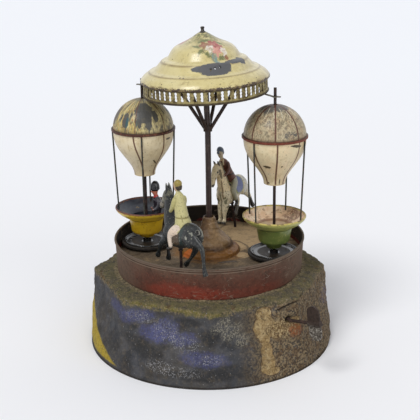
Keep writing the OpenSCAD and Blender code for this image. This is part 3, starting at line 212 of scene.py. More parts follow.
# Small round dots in some of the cells of a random pattern
def buildSpecks(bench, given):
    scale = bench.calc("DIVIDE", 1.0, given["Size"])
    cell = bench.add("TexVoronoi", {"Vector": given["Vector"], "Scale": scale}).outputs
    chosen = bench.add("SeparateColor", {0: cell["Color"]}).outputs[0]
    dot = bench.step(cell["Distance"], bench.calc("MULTIPLY_ADD", chosen, 0.25, 0.25), 0.12)
    return [bench.both(dot, bench.calc("LESS_THAN", chosen, given["Share"]))]


# Thin broken scratches: where a stretched noise crosses its middle value
def buildScratches(bench, given):
    stretched = bench.vector("MULTIPLY", given["Vector"], given["Stretch"])
    value = bench.noise(stretched, given["Size"], 2.0, 0.5)
    off = bench.calc("ABSOLUTE", bench.calc("SUBTRACT", value, 0.5))
    gaps = bench.noise(given["Vector"], bench.calc("MULTIPLY", given["Size"], 1.7), 2.0, 0.5)
    middle = bench.calc("MULTIPLY_ADD", given["Share"], -0.42, 0.71)
    broken = bench.step(gaps, middle, bench.calc("ADD", middle, 0.05))
    return [bench.both(bench.step(off, 0.018, 0.004), broken)]


# A five-petalled flower seen from above: the edge waves with the angle round its centre
def buildBlossom(bench, given):
    moved = bench.vector("SUBTRACT", given["Vector"], given["Centre"])
    part = bench.split(moved)
    angle = bench.calc("ARCTAN2", part[1], part[0])
    wave = bench.calc("COSINE", bench.calc("MULTIPLY_ADD", angle, 5.0, given["Turn"]))
    edge = bench.calc("MULTIPLY", given["Reach"], bench.calc("MULTIPLY_ADD", wave, 0.18, 0.82))
    share = bench.calc("DIVIDE", bench.length(bench.vector("MULTIPLY", moved, flatten)), edge)
    return bench.step(share, 1.05, 0.85), bench.step(share, 0.45, 0.25)


aroundGroup = shaderGroup("aroundAxis", ["Turn", "Radius", "Height"], buildAround, Centre=zero)
blotchGroup = shaderGroup("paintBlotches", ["Mask"], buildBlotches, Size=10.0, Share=0.5, Soft=0.04)
patchGroup = shaderGroup("raggedPatch", ["Mask"], buildPatch, Centre=zero, Reach=one, Turn=0.0, Ragged=0.6,
                         Grain=3.0, Soft=0.08)
speckGroup = shaderGroup("smallSpecks", ["Mask"], buildSpecks, Size=1.5, Share=0.3)
scratchGroup = shaderGroup("thinScratches", ["Mask"], buildScratches, Size=8.0, Share=0.4, Stretch=one)
blossomGroup = shaderGroup("paintedBlossom", ["Petals", "Heart"], buildBlossom, Centre=zero, Reach=3.0,
                           Turn=0.0)


class Finish(Bench):  # a worn surface: the first tone is the ground, and masks are laid over it in turn
    def __init__(self, name, tones, rough=0.6, metal=0.0, shine=0.25):
        self.material = bpy.data.materials.new(name)
        self.material.use_nodes = True
        super().__init__(self.material.node_tree)
        self.tree.nodes.clear()
        texture = self.add("TexCoord", {}).outputs
        self.facing = self.split(texture["Normal"])
        scaled = {0: texture["Object"], "Scale": perMetre}
        self.place = self.add("VectorMath", scaled, operation="SCALE").outputs[0]
        self.tones = {tone: screen(*colour) for tone, colour in tones.items()}
        self.colour = next(iter(self.tones.values()))
        self.rough, self.metal, self.shine, self.height = rough, metal, shine, 0.0

    def shifted(self, seed):  # the same pattern elsewhere, so that two layers don't repeat
        return self.vector("ADD", self.place, (seed * 37.1, seed * -21.3, seed * 13.7))

    def around(self, axis=zero):
        out = self.group(aroundGroup, Vector=self.place, Centre=(axis[0], axis[1], 0.0))
        return out["Turn"], out["Radius"], out["Height"]

    def unrolled(self, turn, across, width):  # degrees become millimetres at that radius
        x = self.calc("MULTIPLY", turn, math.radians(1) * width)
        return self.add("CombineXYZ", {0: x, 1: across, 2: 0.0}).outputs[0]

    def wavy(self, value, reach, size, detail, roughness):  # a value pushed up by a noise of this reach
        return self.calc("MULTIPLY_ADD", self.noise(self.place, size, detail, roughness), reach, value)

    def blotches(self, size, share, soft=0.04, seed=0):
        return self.group(blotchGroup, Vector=self.shifted(seed), Size=size, Share=share, Soft=soft)[0]

    def specks(self, size, share, seed=0):
        return self.group(speckGroup, Vector=self.shifted(seed), Size=size, Share=share)[0]

    def scratches(self, size, share, stretch=one, seed=0):
        return self.group(scratchGroup, Vector=self.shifted(seed), Size=size, Share=share, Stretch=stretch)[0]

    # Centre and half size lie on the surface that vector gives, or are seen from above
    def patch(self, centre, reach, ragged=0.6, grain=3.0, turn=0.0, vector=None, soft=0.08):
        return self.group(patchGroup, Vector=self.place if vector is None else vector,
                          Centre=(*centre, 0.0), Reach=(*reach, 400.0), Turn=math.radians(turn),
                          Ragged=ragged, Grain=grain, Soft=soft)[0]

    def stored(self, name):  # a value kept at the points of a mesh
        return self.add("Attribute", {}, attribute_name=name).outputs["Fac"]

    def lay(self, mask, tone=None, strength=1.0, rough=None, metal=None, height=None):
        if strength != 1.0:
            mask = self.both(mask, strength)
        if tone is not None:
            self.colour = self.mixColour(mask, self.colour, self.tones[tone])
        if rough is not None:
            self.rough = self.mixValue(mask, self.rough, rough)
        if metal is not None:
            self.metal = self.mixValue(mask, self.metal, metal)
        if height is not None:
            self.height = self.calc("MULTIPLY_ADD", mask, height, self.height)

    # Blotches of a tone, all over or within a mask
    def spots(self, tone, strength, size, share, soft=0.04, seed=0, within=None, **more):
        mask = self.blotches(size, share, soft, seed)
        self.lay(mask if within is None else self.both(within, mask), tone, strength, **more)

    def mottle(self, size, dark, light, strength, seed=0):  # darker and lighter clouds of grain
        value = self.noise(self.shifted(seed), size, 6.0, 0.72)
        self.lay(self.step(value, 0.52, 0.32), dark, strength)
        self.lay(self.step(value, 0.50, 0.70), light, strength)

    def grain(self, size, height):  # an even fine unevenness, in millimetres of height
        value = self.noise(self.shifted(9), size, 4.0, 0.6)
        self.height = self.calc("MULTIPLY_ADD", value, height, self.height)

    def close(self, coat=0.0, coatRough=0.2):
        bump = self.add("Bump", {"Strength": 1.0, "Distance": 1 / perMetre, "Height": self.height})
        sockets = {"Base Color": self.colour, "Roughness": self.rough, "Metallic": self.metal,
                   "Specular IOR Level": self.shine, "Coat Weight": coat, "Coat Roughness": coatRough,
                   "Normal": bump.outputs[0]}
        self.add("OutputMaterial", {"Surface": self.add("BsdfPrincipled", sockets).outputs[0]})
        return self.material


# Finishes of the turning top

def canopyPaint():
    tones = {"cream": (202, 187, 127), "pale": (214, 202, 150), "stainAndShade": (150, 130, 82),
             "slate": (74, 74, 76), "olive": (112, 110, 66), "rim": (68, 52, 40), "rose": (156, 52, 60),
             "pink": (204, 140, 130), "white": (226, 218, 204), "leaf": (88, 98, 52), "teal": (104, 134, 134),
             "ochre": (134, 74, 46), "dirt": (70, 58, 44)}
    f = Finish("creamCanopyPaint", tones, 0.3, shine=0.45)
    turn, radius, height = f.around((-2.4, 0.0))
    rise = f.calc("MULTIPLY_ADD", f.split(f.place)[0], -canopyLean, height)
    f.spots("pale", 0.7, 24.0, 0.5, 0.16)
    f.mottle(7.0, "stainAndShade", "pale", 0.36, 1)
    f.spots("stainAndShade", 0.5, 11.0, 0.5, 0.12, 1, within=f.step(turn, 20.0, 70.0))
    for line in (49.4, 38.4):  # painted shade under the raised rings, with dirt, in the steps between them
        f.spots("stainAndShade", 0.8, 12.0, 0.8, 0.12, 2, within=f.between(radius, line - 0.7, line + 0.9, 0.6))
        f.spots("rim", 0.2, 8.0, 0.8, 0.1, 12, within=f.between(radius, line - 0.3, line + 0.3, 0.3))
    f.spots("olive", 0.55, 6.0, 0.55, 0.08, 3, within=f.step(radius, 30.0, 10.0), rough=0.5)
    f.spots("leaf", 0.7, 3.0, 0.5, 0.05, 4, within=f.step(radius, 20.0, 6.0))
    f.spots("dirt", 0.7, 3.4, 0.3, 0.04, 5, within=f.step(radius, 16.0, 8.0))
    warp = f.add("TexNoise", {"Vector": f.place, "Scale": 0.45, "Detail": 5.0, "Roughness": 0.7})
    pull = f.vector("SUBTRACT", warp.outputs["Color"], (0.5, 0.5, 0.5))
    brushed = f.vector("ADD", f.place, f.vector("MULTIPLY", pull, (6.0, 6.0, 0.0)))
    sprays = [((-1.8, -19.0), 5.4, "ochre", 2.4), ((5.6, -16.4), 5.8, "rose", 0.4),
              ((10.6, -19.4), 5.0, "rose", 1.6), ((2.8, -23.4), 5.0, "white", 0.9),
              ((8.6, -24.2), 4.6, "pink", 0.2), ((14.6, -21.6), 3.6, "white", 0.7)]
    leaves = [((-8.4, -20.4), (5.4, 2.2), 35, "leaf"), ((-4.6, -26.6), (5.4, 2.4), -30, "leaf"),
              ((16.6, -24.6), (5.4, 2.2), 40, "ochre"), ((6.6, -29.6), (4.8, 3.4), 60, "teal"),
              ((9.6, -32.4), (3.0, 2.2), 15, "teal"), ((-2.4, -13.2), (8.0, 2.2), -12, "leaf"),
              ((12.8, -27.4), (4.6, 1.8), -35, "leaf"), ((11.4, -12.8), (5.0, 1.8), 25, "leaf"),
              ((1.2, -28.4), (4.4, 1.8), 10, "leaf")]
    for back in (115, 180, 245):  # small sprays go round the dome, so that it has no blank side
        angle = math.radians(back)
        for centre, reach, kind, lift in sprays[:3]:
            x = centre[0] * math.cos(angle) - centre[1] * math.sin(angle)
            y = centre[0] * math.sin(angle) + centre[1] * math.cos(angle)
            sprays.append(((x, y), reach * 0.8, kind, lift))
    faded = f.blotches(1.5, 0.88, 0.10, 6)
    for centre, reach, angle, kind in leaves:
        leaf = f.patch(centre, reach, 0.8, 1.6, angle, brushed, 0.2)
        f.lay(f.both(leaf, faded), kind, 0.9)
    for centre, reach, kind, lift in sprays:
        out = f.group(blossomGroup, Vector=brushed, Centre=(*centre, 0.0), Reach=reach, Turn=lift)
        f.lay(f.both(out["Petals"], faded), kind, 0.85)
        f.spots("pink", 0.6, 1.4, 0.5, 0.06, 7, within=out["Heart"])
        f.spots("dirt", 0.3, 1.6, 0.3, 0.05, 11, within=out["Petals"])
    f.lay(f.scratches(14.0, 0.35, seed=7), "stainAndShade", 0.6)
    strip = f.unrolled(turn, radius, 39.0)
    flakes = [((9.4, 40.6), (13.6, 5.4), 0.5), ((-2.6, 40.4), (8.4, 2.0), 0.7),
              ((18.0, 39.0), (6.5, 3.0), 0.8), ((32.5, 36.2), (12.5, 2.8), 0.9),
              ((40.0, 36.8), (5.0, 4.2), 0.9), ((-112.0, 47.0), (6.0, 2.4), 0.9),
              ((96.0, 30.0), (7.0, 3.2), 0.9)]
    for centre, reach, ragged in flakes:
        f.lay(f.patch(centre, reach, ragged, 2.6, vector=strip), "slate", rough=0.55, height=-0.16)
    f.lay(f.specks(3.0, 0.10), "dirt", rough=0.6, height=-0.05)
    f.spots("dirt", 0.6, 14.0, 0.5, 0.1, 9, within=f.blotches(1.6, 0.20, 0.03, 8))
    for spot in ((-23.0, -43.5), (-20.2, -45.2), (-37.0, -12.9)):
        f.lay(f.patch(spot, (1.0, 1.0), 0.5, 1.0), "rim")
    lip = nodeBox("gallery")[0][2] + 15.4  # the rolled rim along the lower edge is darkened as painted shade, and its paint is chipped to bare metal
    above = f.calc("SUBTRACT", rise, f.wavy(lip - 2.7, 8.0, 4.0, 5.0, 0.8))
    f.lay(f.step(above, 0.45, 0.0), "rim", rough=0.7, height=-0.2)
    f.spots("stainAndShade", 0.7, 4.0, 0.4, 0.05, 10, within=f.step(above, 2.2, 0.4))
    f.grain(2.2, 0.06)
    return f.close(0.3, 0.14)


def galleryPaint():
    tones = {"gold": (100, 86, 54), "bright": (178, 164, 112), "brown": (48, 38, 30)}
    f = Finish("tarnishedGalleryGold", tones, 0.5, 0.25)
    part = f.split(f.place)
    rise = f.calc("MULTIPLY_ADD", part[0], -canopyLean, part[2])
    low = nodeBox("gallery")[0][2] + 2.1
    f.spots("bright", 0.75, 6.0, 0.5, 0.08)
    f.mottle(2.4, "brown", "bright", 0.75, 1)
    f.lay(f.step(rise, low + 2.9, low + 1.5), "brown", 0.9, rough=0.7, metal=0.0)
    # darker band along the top: painted shade under the canopy's rim
    f.lay(f.step(rise, low + 11.0, low + 12.2), "brown", 0.95, rough=0.7, metal=0.0)
    # a paler line just above the dark bottom: painted highlight along the bead
    f.lay(f.between(rise, low + 2.0, low + 2.6, 0.2), "bright", 0.4)
    f.grain(1.6, 0.06)
    return f.close()


# Plain painted or bare metal that is alike all over
def plainMetal(name, colour, worn, rough=0.55, metal=0.0, size=5.0, share=0.35, coat=0.0):
    f = Finish(name, {"ground": colour, "worn": worn, "shade": [c * 0.6 for c in colour]}, rough, metal)
    f.spots("worn", 0.75, size, share, 0.08, rough=min(rough + 0.2, 0.95))
    f.spots("shade", 0.6, size * 0.3, 0.3, 0.05, 1)
    f.lay(f.scratches(size * 1.6, 0.35, seed=2), "worn", 0.6)
    f.grain(size * 0.25, 0.05)
    return f.close(coat)


def wheelPaint(side, axis):  # black japan: dull in the dish, glossy on the rolled lip and the hub
    tones = {"black": (24, 24, 23), "dust": (72, 64, 52), "rust": (66, 50, 38), "deckReflection": (46, 38, 30)}
    f = Finish("blackWheel" + side, tones, 0.13, shine=0.75)
    radius = f.around(axis)[1]
    dish = f.between(radius, 5.2, 15.4, 0.5)
    f.shine = f.mixValue(dish, 0.75, 0.06)
    # brown in the dish: painted reflection of the deck
    f.lay(dish, "deckReflection", 0.7, rough=0.4)
    f.spots("dust", 0.5, 6.0, 0.4, 0.1, within=dish, rough=0.6)
    f.spots("rust", 0.4, 3.0, 0.3, 0.05, 1, rough=0.6)
    f.lay(f.scratches(7.0, 0.35, seed=2), "dust", 0.6, rough=0.5)
    f.grain(3.0, 0.10)
    return f.close()


# Finishes of the balloons

# Blotches drawn out along the meridians, as paint runs
def runs(f, strip, size, share, seed, drawn=0.24):
    moved = f.vector("ADD", f.vector("MULTIPLY", strip, (1.0, drawn, 1.0)), (seed * 17.0, 5.0 * seed, 0.0))
    return f.group(blotchGroup, Vector=moved, Size=size, Share=share, Soft=0.05)[0]


# Lines down the seams of the envelope: first seam, and degrees between seams
def seams(f, turn, radius, first, apart, width, bend=None):
    past = f.calc("SUBTRACT", turn, first)
    if bend is not None:
        past = f.calc("ADD", past, bend)
    perDegree = f.calc("MULTIPLY", radius, math.radians(1))
    return f.step(f.both(f.calc("PINGPONG", past, apart / 2), perDegree), width + 0.15, width - 0.15)


def balloonTopPaint(side, axis):
    left = side == "Left"
    tones = {"ground": (172, 156, 116), "pale": (212, 197, 140), "yellow": (196, 168, 86),
             "teal": (50, 84, 88), "rust": (168, 96, 60), "slate": (72, 71, 68), "olive": (104, 98, 76),
             "seam": (96, 58, 40), "foot": (96, 76, 54)}
    if not left:
        tones = {"ground": (172, 157, 126), "pale": (198, 184, 150), "slate": (76, 74, 72),
                 "speck": (76, 66, 50), "warm": (184, 150, 114), "line": (208, 200, 174),
                 "seam": (84, 44, 30), "foot": (96, 76, 54)}
    f = Finish("streakedTop" + side, tones, 0.45, shine=0.35)
    turn, radius, height = f.around(axis)
    strip = f.unrolled(turn, height, 26.0)
    f.spots("pale", 0.75, 9.0, 0.5, 0.12)
    if left:
        f.mottle(2.2, "olive", "pale", 0.7, 8)
        busy = f.step(turn, 20.0, -14.0)  # the runs of colour stand mostly on the left
        f.lay(f.both(busy, runs(f, strip, 3.4, 0.55, 1)), "yellow", 0.85)
        f.lay(f.both(busy, runs(f, strip, 2.4, 0.30, 3)), "rust", 0.7)
        f.lay(runs(f, strip, 3.2, 0.42, 6), "olive", 0.8, rough=0.6)
        f.lay(runs(f, strip, 2.6, 0.38, 4), "slate", 0.9, rough=0.6, height=-0.08)
        f.lay(f.both(busy, runs(f, strip, 2.6, 0.30, 2)), "teal", 0.9)
        f.lay(runs(f, strip, 1.5, 0.38, 5, 0.3), "pale", 0.75)
        dark = [((3.0, 221.0), (11.5, 6.0)), ((2.6, 216.0), (7.8, 5.6)), ((6.6, 211.0), (3.0, 6.5)),
                ((-1.6, 212.0), (2.2, 5.6)), ((-16.0, 212.5), (3.4, 6.5)), ((14.5, 216.0), (3.0, 5.0)),
                ((-34.0, 214.0), (4.0, 9.0)), ((46.0, 217.0), (9.0, 6.0))]
        for centre, reach in dark:
            bared = f.both(f.patch(centre, reach, 1.0, 2.2, vector=strip), f.step(radius, 10.0, 12.5))
            f.lay(bared, "slate", 0.95, rough=0.5, height=-0.12)
        f.lay(f.patch((-13.6, 211.0), (1.5, 4.5), 1.0, 2.0, vector=strip), "teal", 0.9)
        f.lay(f.step(radius, 11.0, 5.0), "olive", 0.8)
    else:
        f.spots("warm", 0.5, 7.0, 0.4, 0.1, 6)
        lower = f.step(height, 224.0, 208.0)
        fine = f.either(f.blotches(1.3, 0.38, 0.03, 1), runs(f, strip, 1.5, 0.34, 2, 0.4))
        f.lay(f.both(fine, f.calc("MULTIPLY_ADD", lower, -0.4, 1.0)), "speck", 0.8)
        f.spots("speck", 0.45, 3.2, 0.38, 0.06, 9)
        f.lay(runs(f, strip, 1.6, 0.26, 3), "pale", 0.7)
        cap = f.wavy(radius, 18.0, 6.0, 5.0, 0.7)
        cap = f.calc("MULTIPLY_ADD", f.calc("ABSOLUTE", f.calc("ADD", turn, 40.0)), 0.05, cap)
        f.lay(f.step(cap, 27.0, 23.0), "slate", 0.9, rough=0.5, height=-0.1)
        rays = f.calc("PINGPONG", f.wavy(turn, 16.0, 7.0, 2.0, 0.5), 12.0)
        thin = f.both(f.step(rays, 1.5, 0.7), f.between(radius, 9.0, 20.0, 2.0))
        f.spots("line", 0.9, 6.0, 0.7, 0.05, 7, within=thin)
        crust = f.patch((12.0, 206.4), (6.5, 3.0), 1.2, 2.0, vector=strip)
        f.spots("slate", 0.9, 1.4, 0.5, 0.05, 8, within=crust)
    seam = seams(f, turn, radius, -12.0 if left else 43.0, 60.0 if left else 46.0, 0.5 if left else 0.75)
    f.spots("seam", 0.8 if left else 0.95, 6.0, 0.85, 0.05, 7, within=seam)
    f.lay(f.step(height, ringHeight + 4.5, ringHeight + 0.8), "foot", 0.6)
    f.grain(2.4, 0.07)
    return f.close(0.12)


def balloonLowPaint(side, axis):
    left = side == "Left"
    tones = {"cream": (228, 211, 172), "pale": (234, 221, 190), "tan": (192, 170, 127), "seam": (92, 50, 28),
             "dirt": (78, 66, 46), "neck": (190, 172, 138), "blush": (238, 210, 170)}
    f = Finish("creamEnvelope" + side, tones, 0.42, shine=0.4)
    turn, radius, height = f.around(axis)
    f.spots("pale" if left else "blush", 0.6, 14.0, 0.45, 0.14)
    f.mottle(6.0, "tan", "pale", 0.5, 1)
    f.spots("tan", 0.6, 3.0, 0.20, 0.03, 2)
    f.lay(f.step(height, 176.0, 156.0), "neck", 0.55 if left else 0.35)
    f.spots("tan", 0.5, 10.0, 0.6, 0.1, 3, within=f.step(turn, 10.0, 60.0))
    strip = f.unrolled(turn, height, 20.0)
    f.spots("tan", 0.7, 9.0, 0.5, 0.1, 4, within=runs(f, strip, 3.0, 0.25, 1, 0.2))
    bend = f.calc("MULTIPLY", f.calc("SINE", f.calc("MULTIPLY", height, 0.07)), 6.0)
    seam = seams(f, turn, radius, -10.0 if left else 1.0, 60.0 if left else 45.0, 0.75,
                 bend if left else None)
    f.spots("seam", 0.95, 9.0, 0.95, 0.05, 7, within=seam, rough=0.4)
    dark = [((-8.0, 176.5), (3.4, 1.3), 10), ((13.5, 196.0), (4.6, 1.2), 15), ((7.5, 160.0), (1.0, 3.0), 0),
            ((-12.0, 158.8), (1.3, 1.2), 0), ((5.0, 177.0), (0.7, 0.9), 0), ((52.0, 180.0), (4.0, 1.6), -20)]
    if left:
        dark = [((13.5, 171.4), (4.4, 0.7), 38), ((20.0, 194.0), (2.4, 1.0), 0),
                ((-40.0, 176.0), (1.6, 1.0), 0), ((-60.0, 190.0), (5.0, 1.4), 30)]
    for centre, reach, angle in dark:
        f.lay(f.patch(centre, reach, 0.9, 1.6, angle, strip), "dirt", height=-0.1)
    f.lay(f.specks(1.5, 0.16, 8), "seam", 0.35)
    f.lay(f.specks(2.4, 0.12, 4), "dirt", 0.8, height=-0.05)
    f.lay(f.step(height, 158.0, 156.6), "tan", 0.8)
    f.grain(2.6, 0.09)
    return f.close(0.08)


def riggingPaint(side):  # a red-brown ring and dark wires in one node
    tones = {"ring": (78, 46, 35) if side == "Left" else (116, 56, 40), "top": (52, 38, 30),
             "dark": (52, 36, 28), "pale": (150, 96, 72), "wire": (46, 46, 42), "bare": (72, 74, 66),
             "rust": (84, 58, 44)}
    f = Finish("riggingRing" + side, tones, 0.5)
    part = f.split(f.place)
    f.lay(f.step(part[2], ringHeight + 0.2, ringHeight + 1.2), "top", 0.75)
    f.mottle(2.6, "dark", "pale", 0.6)
    wire = f.step(part[2], ringHeight - 1.6, ringHeight - 2.6)
    f.lay(wire, "wire", rough=0.55)
    f.spots("bare", 0.8, 6.0, 0.45, 0.06, 2, within=wire, rough=0.7)
    f.spots("rust", 0.7, 4.0, 0.3, 0.05, 3, within=wire, rough=0.7)
    f.grain(1.0, 0.06)
    return f.close()


def gondolaPaint(side, axis):
    left = side == "Left"
    if left:
        tones = {"cup": (216, 178, 38), "lip": (230, 196, 60), "deep": (168, 126, 24), "spot": (130, 76, 24),
                 "edge": (104, 56, 34), "crease": (96, 70, 16), "in": (30, 30, 41), "inPale": (50, 58, 66),
                 "inDark": (28, 28, 38), "foot": (34, 40, 40), "chip": (70, 42, 28)}
    else:
        tones = {"cup": (112, 124, 64), "lip": (182, 180, 104), "deep": (80, 100, 48),
                 "spot": (172, 168, 100), "edge": (190, 176, 92), "crease": (66, 80, 38),
                 "in": (208, 174, 138), "inPale": (224, 204, 174), "inDark": (124, 88, 62),
                 "foot": (84, 62, 46), "chip": (70, 42, 28)}
    f = Finish("gondola" + side, tones, 0.34, shine=0.4)
    height = f.around(axis)[2]
    rim = nodeBox("gondola_" + side.lower())[1][2]
    flange = f.step(height, rim - 10.4, rim - 8.6)
    f.lay(flange, "lip", 0.9)
    f.mottle(5.0, "deep", "lip", 0.4)
    f.spots("spot", 0.6, 3.0, 0.2, 0.03, 1)
    f.lay(f.specks(1.6, 0.14), "deep", 0.8)
    # darker lines along the two folds of the cup: painted shade in the creases
    for crease in (rim - 11.2, rim - 25.6):
        f.lay(f.between(height, crease - 0.5, crease + 0.5, 0.4), "crease", 0.85)
    f.lay(f.between(height, rim - 5.2, rim - 4.7, 0.3), "deep", 0.5)
    f.lay(f.step(height, rim - 14.0, rim - 27.0), "deep", 0.5)
    axisVector = f.vector("SUBTRACT", f.place, (axis[0], axis[1], 0.0))
    spread = f.split(axisVector)
    outwards = f.calc("ADD", f.calc("MULTIPLY", spread[0], f.facing[0]),
                      f.calc("MULTIPLY", spread[1], f.facing[1]))
    inside = f.either(f.step(outwards, 0.0, -1.0), f.step(f.facing[2], 0.15, 0.35))
    f.lay(inside, "in", rough=0.45)
    f.spots("inPale", 0.7, 9.0, 0.5, 0.12, 2, within=inside)
    f.spots("inDark", 0.6, 4.0, 0.34, 0.05, 3, within=inside)
    # inside, the band under the rim and the bottom are darkened: painted shade in the hollow
    f.lay(f.both(inside, f.between(height, rim - 11.6, rim - 9.8, 0.5)), "inDark", 0.8)
    f.lay(f.both(inside, f.between(height, rim - 18.0, rim - 13.0, 2.0)), "inPale", 0.7)
    f.lay(f.both(inside, f.step(height, rim - 18.0, rim - 24.0)), "foot", 0.9)
    dirty = f.patch((20.0, 14.0), (9.0, 8.0), 0.9, 3.0, 0.0, axisVector, 0.2)
    f.spots("inDark", 0.9, 1.8, 0.6, 0.05, 6, within=f.both(inside, dirty))
    edge = f.wavy(f.calc("ADD", height, -1.3), 2.6, 4.0, 4.0, 0.7)
    f.lay(f.step(edge, rim - 1.8, rim - 1.0), "edge", 0.9, rough=0.5)
    f.spots("chip", 0.8, 4.0, 0.45, 0.05, 4, within=f.step(height, rim - 1.4, rim - 0.5))
    f.lay(f.scratches(7.0, 0.35, seed=5), "deep", 0.7)
    f.grain(2.2, 0.06)
    return f.close(0.25, 0.15)


# Finishes of the drum and the deck

def drumPaint():
    tones = {"red": (86, 50, 37), "bright": (138, 50, 34), "dust": (100, 84, 70), "dark": (32, 26, 21),
             "line": (136, 122, 106), "rust": (78, 46, 36), "band": (98, 36, 30), "fleck": (140, 80, 60)}
    f = Finish("dustyRedDrum", tones, 0.62, shine=0.2)
    turn, radius, height = f.around()
    strip = f.unrolled(turn, height, 88.0)
    f.spots("rust", 0.7, 18.0, 0.5, 0.12)
    f.lay(f.patch((-24.0, 76.0), (36.0, 9.0), 1.3, 9.0, 0.0, strip, 0.4), "bright", 0.52)
    f.lay(f.patch((34.0, 74.0), (60.0, 7.0), 0.8, 9.0, 0.0, strip, 0.4), "bright", 0.22)
    haze = f.wavy(height, 14.0, 12.0, 4.0, 0.6)
    f.lay(f.step(haze, 92.0, 106.0), "dust", 0.55, rough=0.85)
    side = f.calc("ABSOLUTE", turn)
    f.spots("dust", 0.85, 14.0, 0.85, 0.14, 2, within=f.step(side, 34.0, 66.0), rough=0.85)
    f.mottle(9.0, "dark", "rust", 0.4, 12)
    f.mottle(2.4, "dark", "dust", 0.28, 3)
    f.spots("fleck", 0.4, 1.8, 0.2, 0.05, 4)
    f.lay(f.step(height, 73.4, 71.6), "dark", 0.5)
    rimTop = nodeBox("drum_pan")[1][2]
    for drop, width in ((2.4, 0.4), (4.6, 0.25)):
        line = f.between(height, rimTop - drop - width, rimTop - drop + width, 0.2)
        f.spots("line", 0.75, 11.0, 0.75, 0.08, 4, within=line)
    f.lay(f.between(height, rimTop - 3.9, rimTop - 3.1, 0.3), "dark", 0.45)
    f.lay(f.step(height, rimTop - 1.2, rimTop - 0.3), "dark", 0.7)
    f.spots("line", 0.35, 6.0, 0.85, 0.10, 8, within=f.step(height, rimTop - 1.6, rimTop - 0.8))
    wall = f.calc("MULTIPLY_ADD", height, -0.0453, radius)  # even on each face of the leaning wall
    inner = f.step(wall, 83.5, 83.2)
    f.lay(f.both(inner, f.step(height, rimTop - 0.9, rimTop - 1.6)), "dark", rough=0.55)
    foot = f.both(inner, f.between(height, deckTop - 1.0, deckTop + 3.0, 0.8))
    f.spots("band", 1.0, 18.0, 0.6, 0.06, 5, within=foot, rough=0.6)
    f.lay(f.scratches(12.0, 0.4, (1.0, 1.0, 2.5), 6), "line", 0.5)
    f.grain(1.8, 0.09)
    return f.close()


def deckPaint():
    tones = {"tan": (166, 139, 104), "pale": (192, 165, 126), "grey": (92, 80, 66), "ochre": (140, 98, 48),
             "dark": (62, 52, 42), "lens": (84, 76, 70)}
    f = Finish("creasedDeckPaint", tones, 0.72, shine=0.2)
    radius = f.around()[1]
    f.spots("pale", 0.7, 18.0, 0.5, 0.12)
    # The tan layer has gone in front, along a ragged line from the right to the mound
    spot = f.split(f.place)
    line = f.calc("MULTIPLY_ADD", spot[0], 0.35, spot[1])
    line = f.wavy(line, 30.0, 11.0, 5.0, 0.7)
    worn = f.either(f.step(line, 12.0, 8.0), f.step(spot[0], 6.0, -6.0))
    # paler towards the back: painted light against the shade of the drum's back wall
    f.lay(f.step(spot[1], -6.0, 24.0), "pale", 0.6)
    f.lay(worn, "grey", rough=0.7, height=-0.25)
    # a pale line along the edge of the tan layer: painted highlight on its raised lip
    f.lay(f.both(f.between(line, 7.4, 12.4, 1.4), f.step(spot[0], -6.0, 6.0)), "pale", 0.6)
    f.mottle(8.0, "dark", "tan", 0.45, 1)
    near = f.wavy(radius, 16.0, 9.0, 4.0, 0.6)
    f.lay(f.both(f.step(near, 47.0, 37.0), worn), "ochre", 0.6)
    f.lay(f.patch((16.0, -31.0), (9.5, 2.6), 0.5, 5.0, -8.0), "dark", rough=0.5, height=-0.1)
    f.lay(f.patch((16.0, -31.0), (7.6, 1.5), 0.5, 5.0, -8.0), "lens")
    # darker towards the drum wall: painted shade at the foot of the wall
    f.lay(f.step(radius, 72.0, 84.0), "dark", 0.55)
    # the fold lines are darkened: painted shade along the creases
    f.lay(f.stored("crease"), "dark", 0.8)
    f.mottle(1.6, "dark", "pale", 0.3, 3)
    f.lay(f.scratches(16.0, 0.5, seed=4), "dark", 0.5)
    f.grain(1.6, 0.12)
    return f.close()


def moundPaint():
    tones = {"tan": (128, 102, 70), "pale": (156, 128, 90), "shadow": (54, 36, 17), "gold": (120, 77, 24),
             "orange": (184, 98, 42), "brown": (84, 58, 33)}
    f = Finish("ochreMound", tones, 0.48, shine=0.35)
    turn, _, height = f.around()
    low = f.wavy(f.calc("SUBTRACT", height, deckTop), 5.0, 8.0, 3.0, 0.6)
    f.mottle(9.0, "brown", "pale", 0.6)
    f.lay(f.step(low, 15.5, 10.0), "gold", 0.9)
    f.lay(f.between(low, 9.5, 13.0, 1.6), "shadow", 0.8)
    # browner on the upper left side: painted shade
    f.lay(f.both(f.step(turn, 22.0, -24.0), f.step(low, 14.0, 20.0)), "brown", 0.85)
    f.lay(f.both(f.step(turn, -16.0, -50.0), f.step(low, 6.0, 14.0)), "shadow", 0.6)
    f.mottle(3.0, "shadow", "pale", 0.4, 1)
    f.lay(f.step(low, 3.8, 1.8), "shadow", 0.85)
    strip = f.unrolled(turn, height, 28.0)
    f.lay(f.patch((-24.4, deckTop + 2.6), (5.0, 4.4), 0.7, 3.0, 0.0, strip), "orange", 0.9)
    f.lay(f.specks(1.8, 0.2), "shadow", 0.6)
    f.grain(2.0, 0.12)
    return f.close()


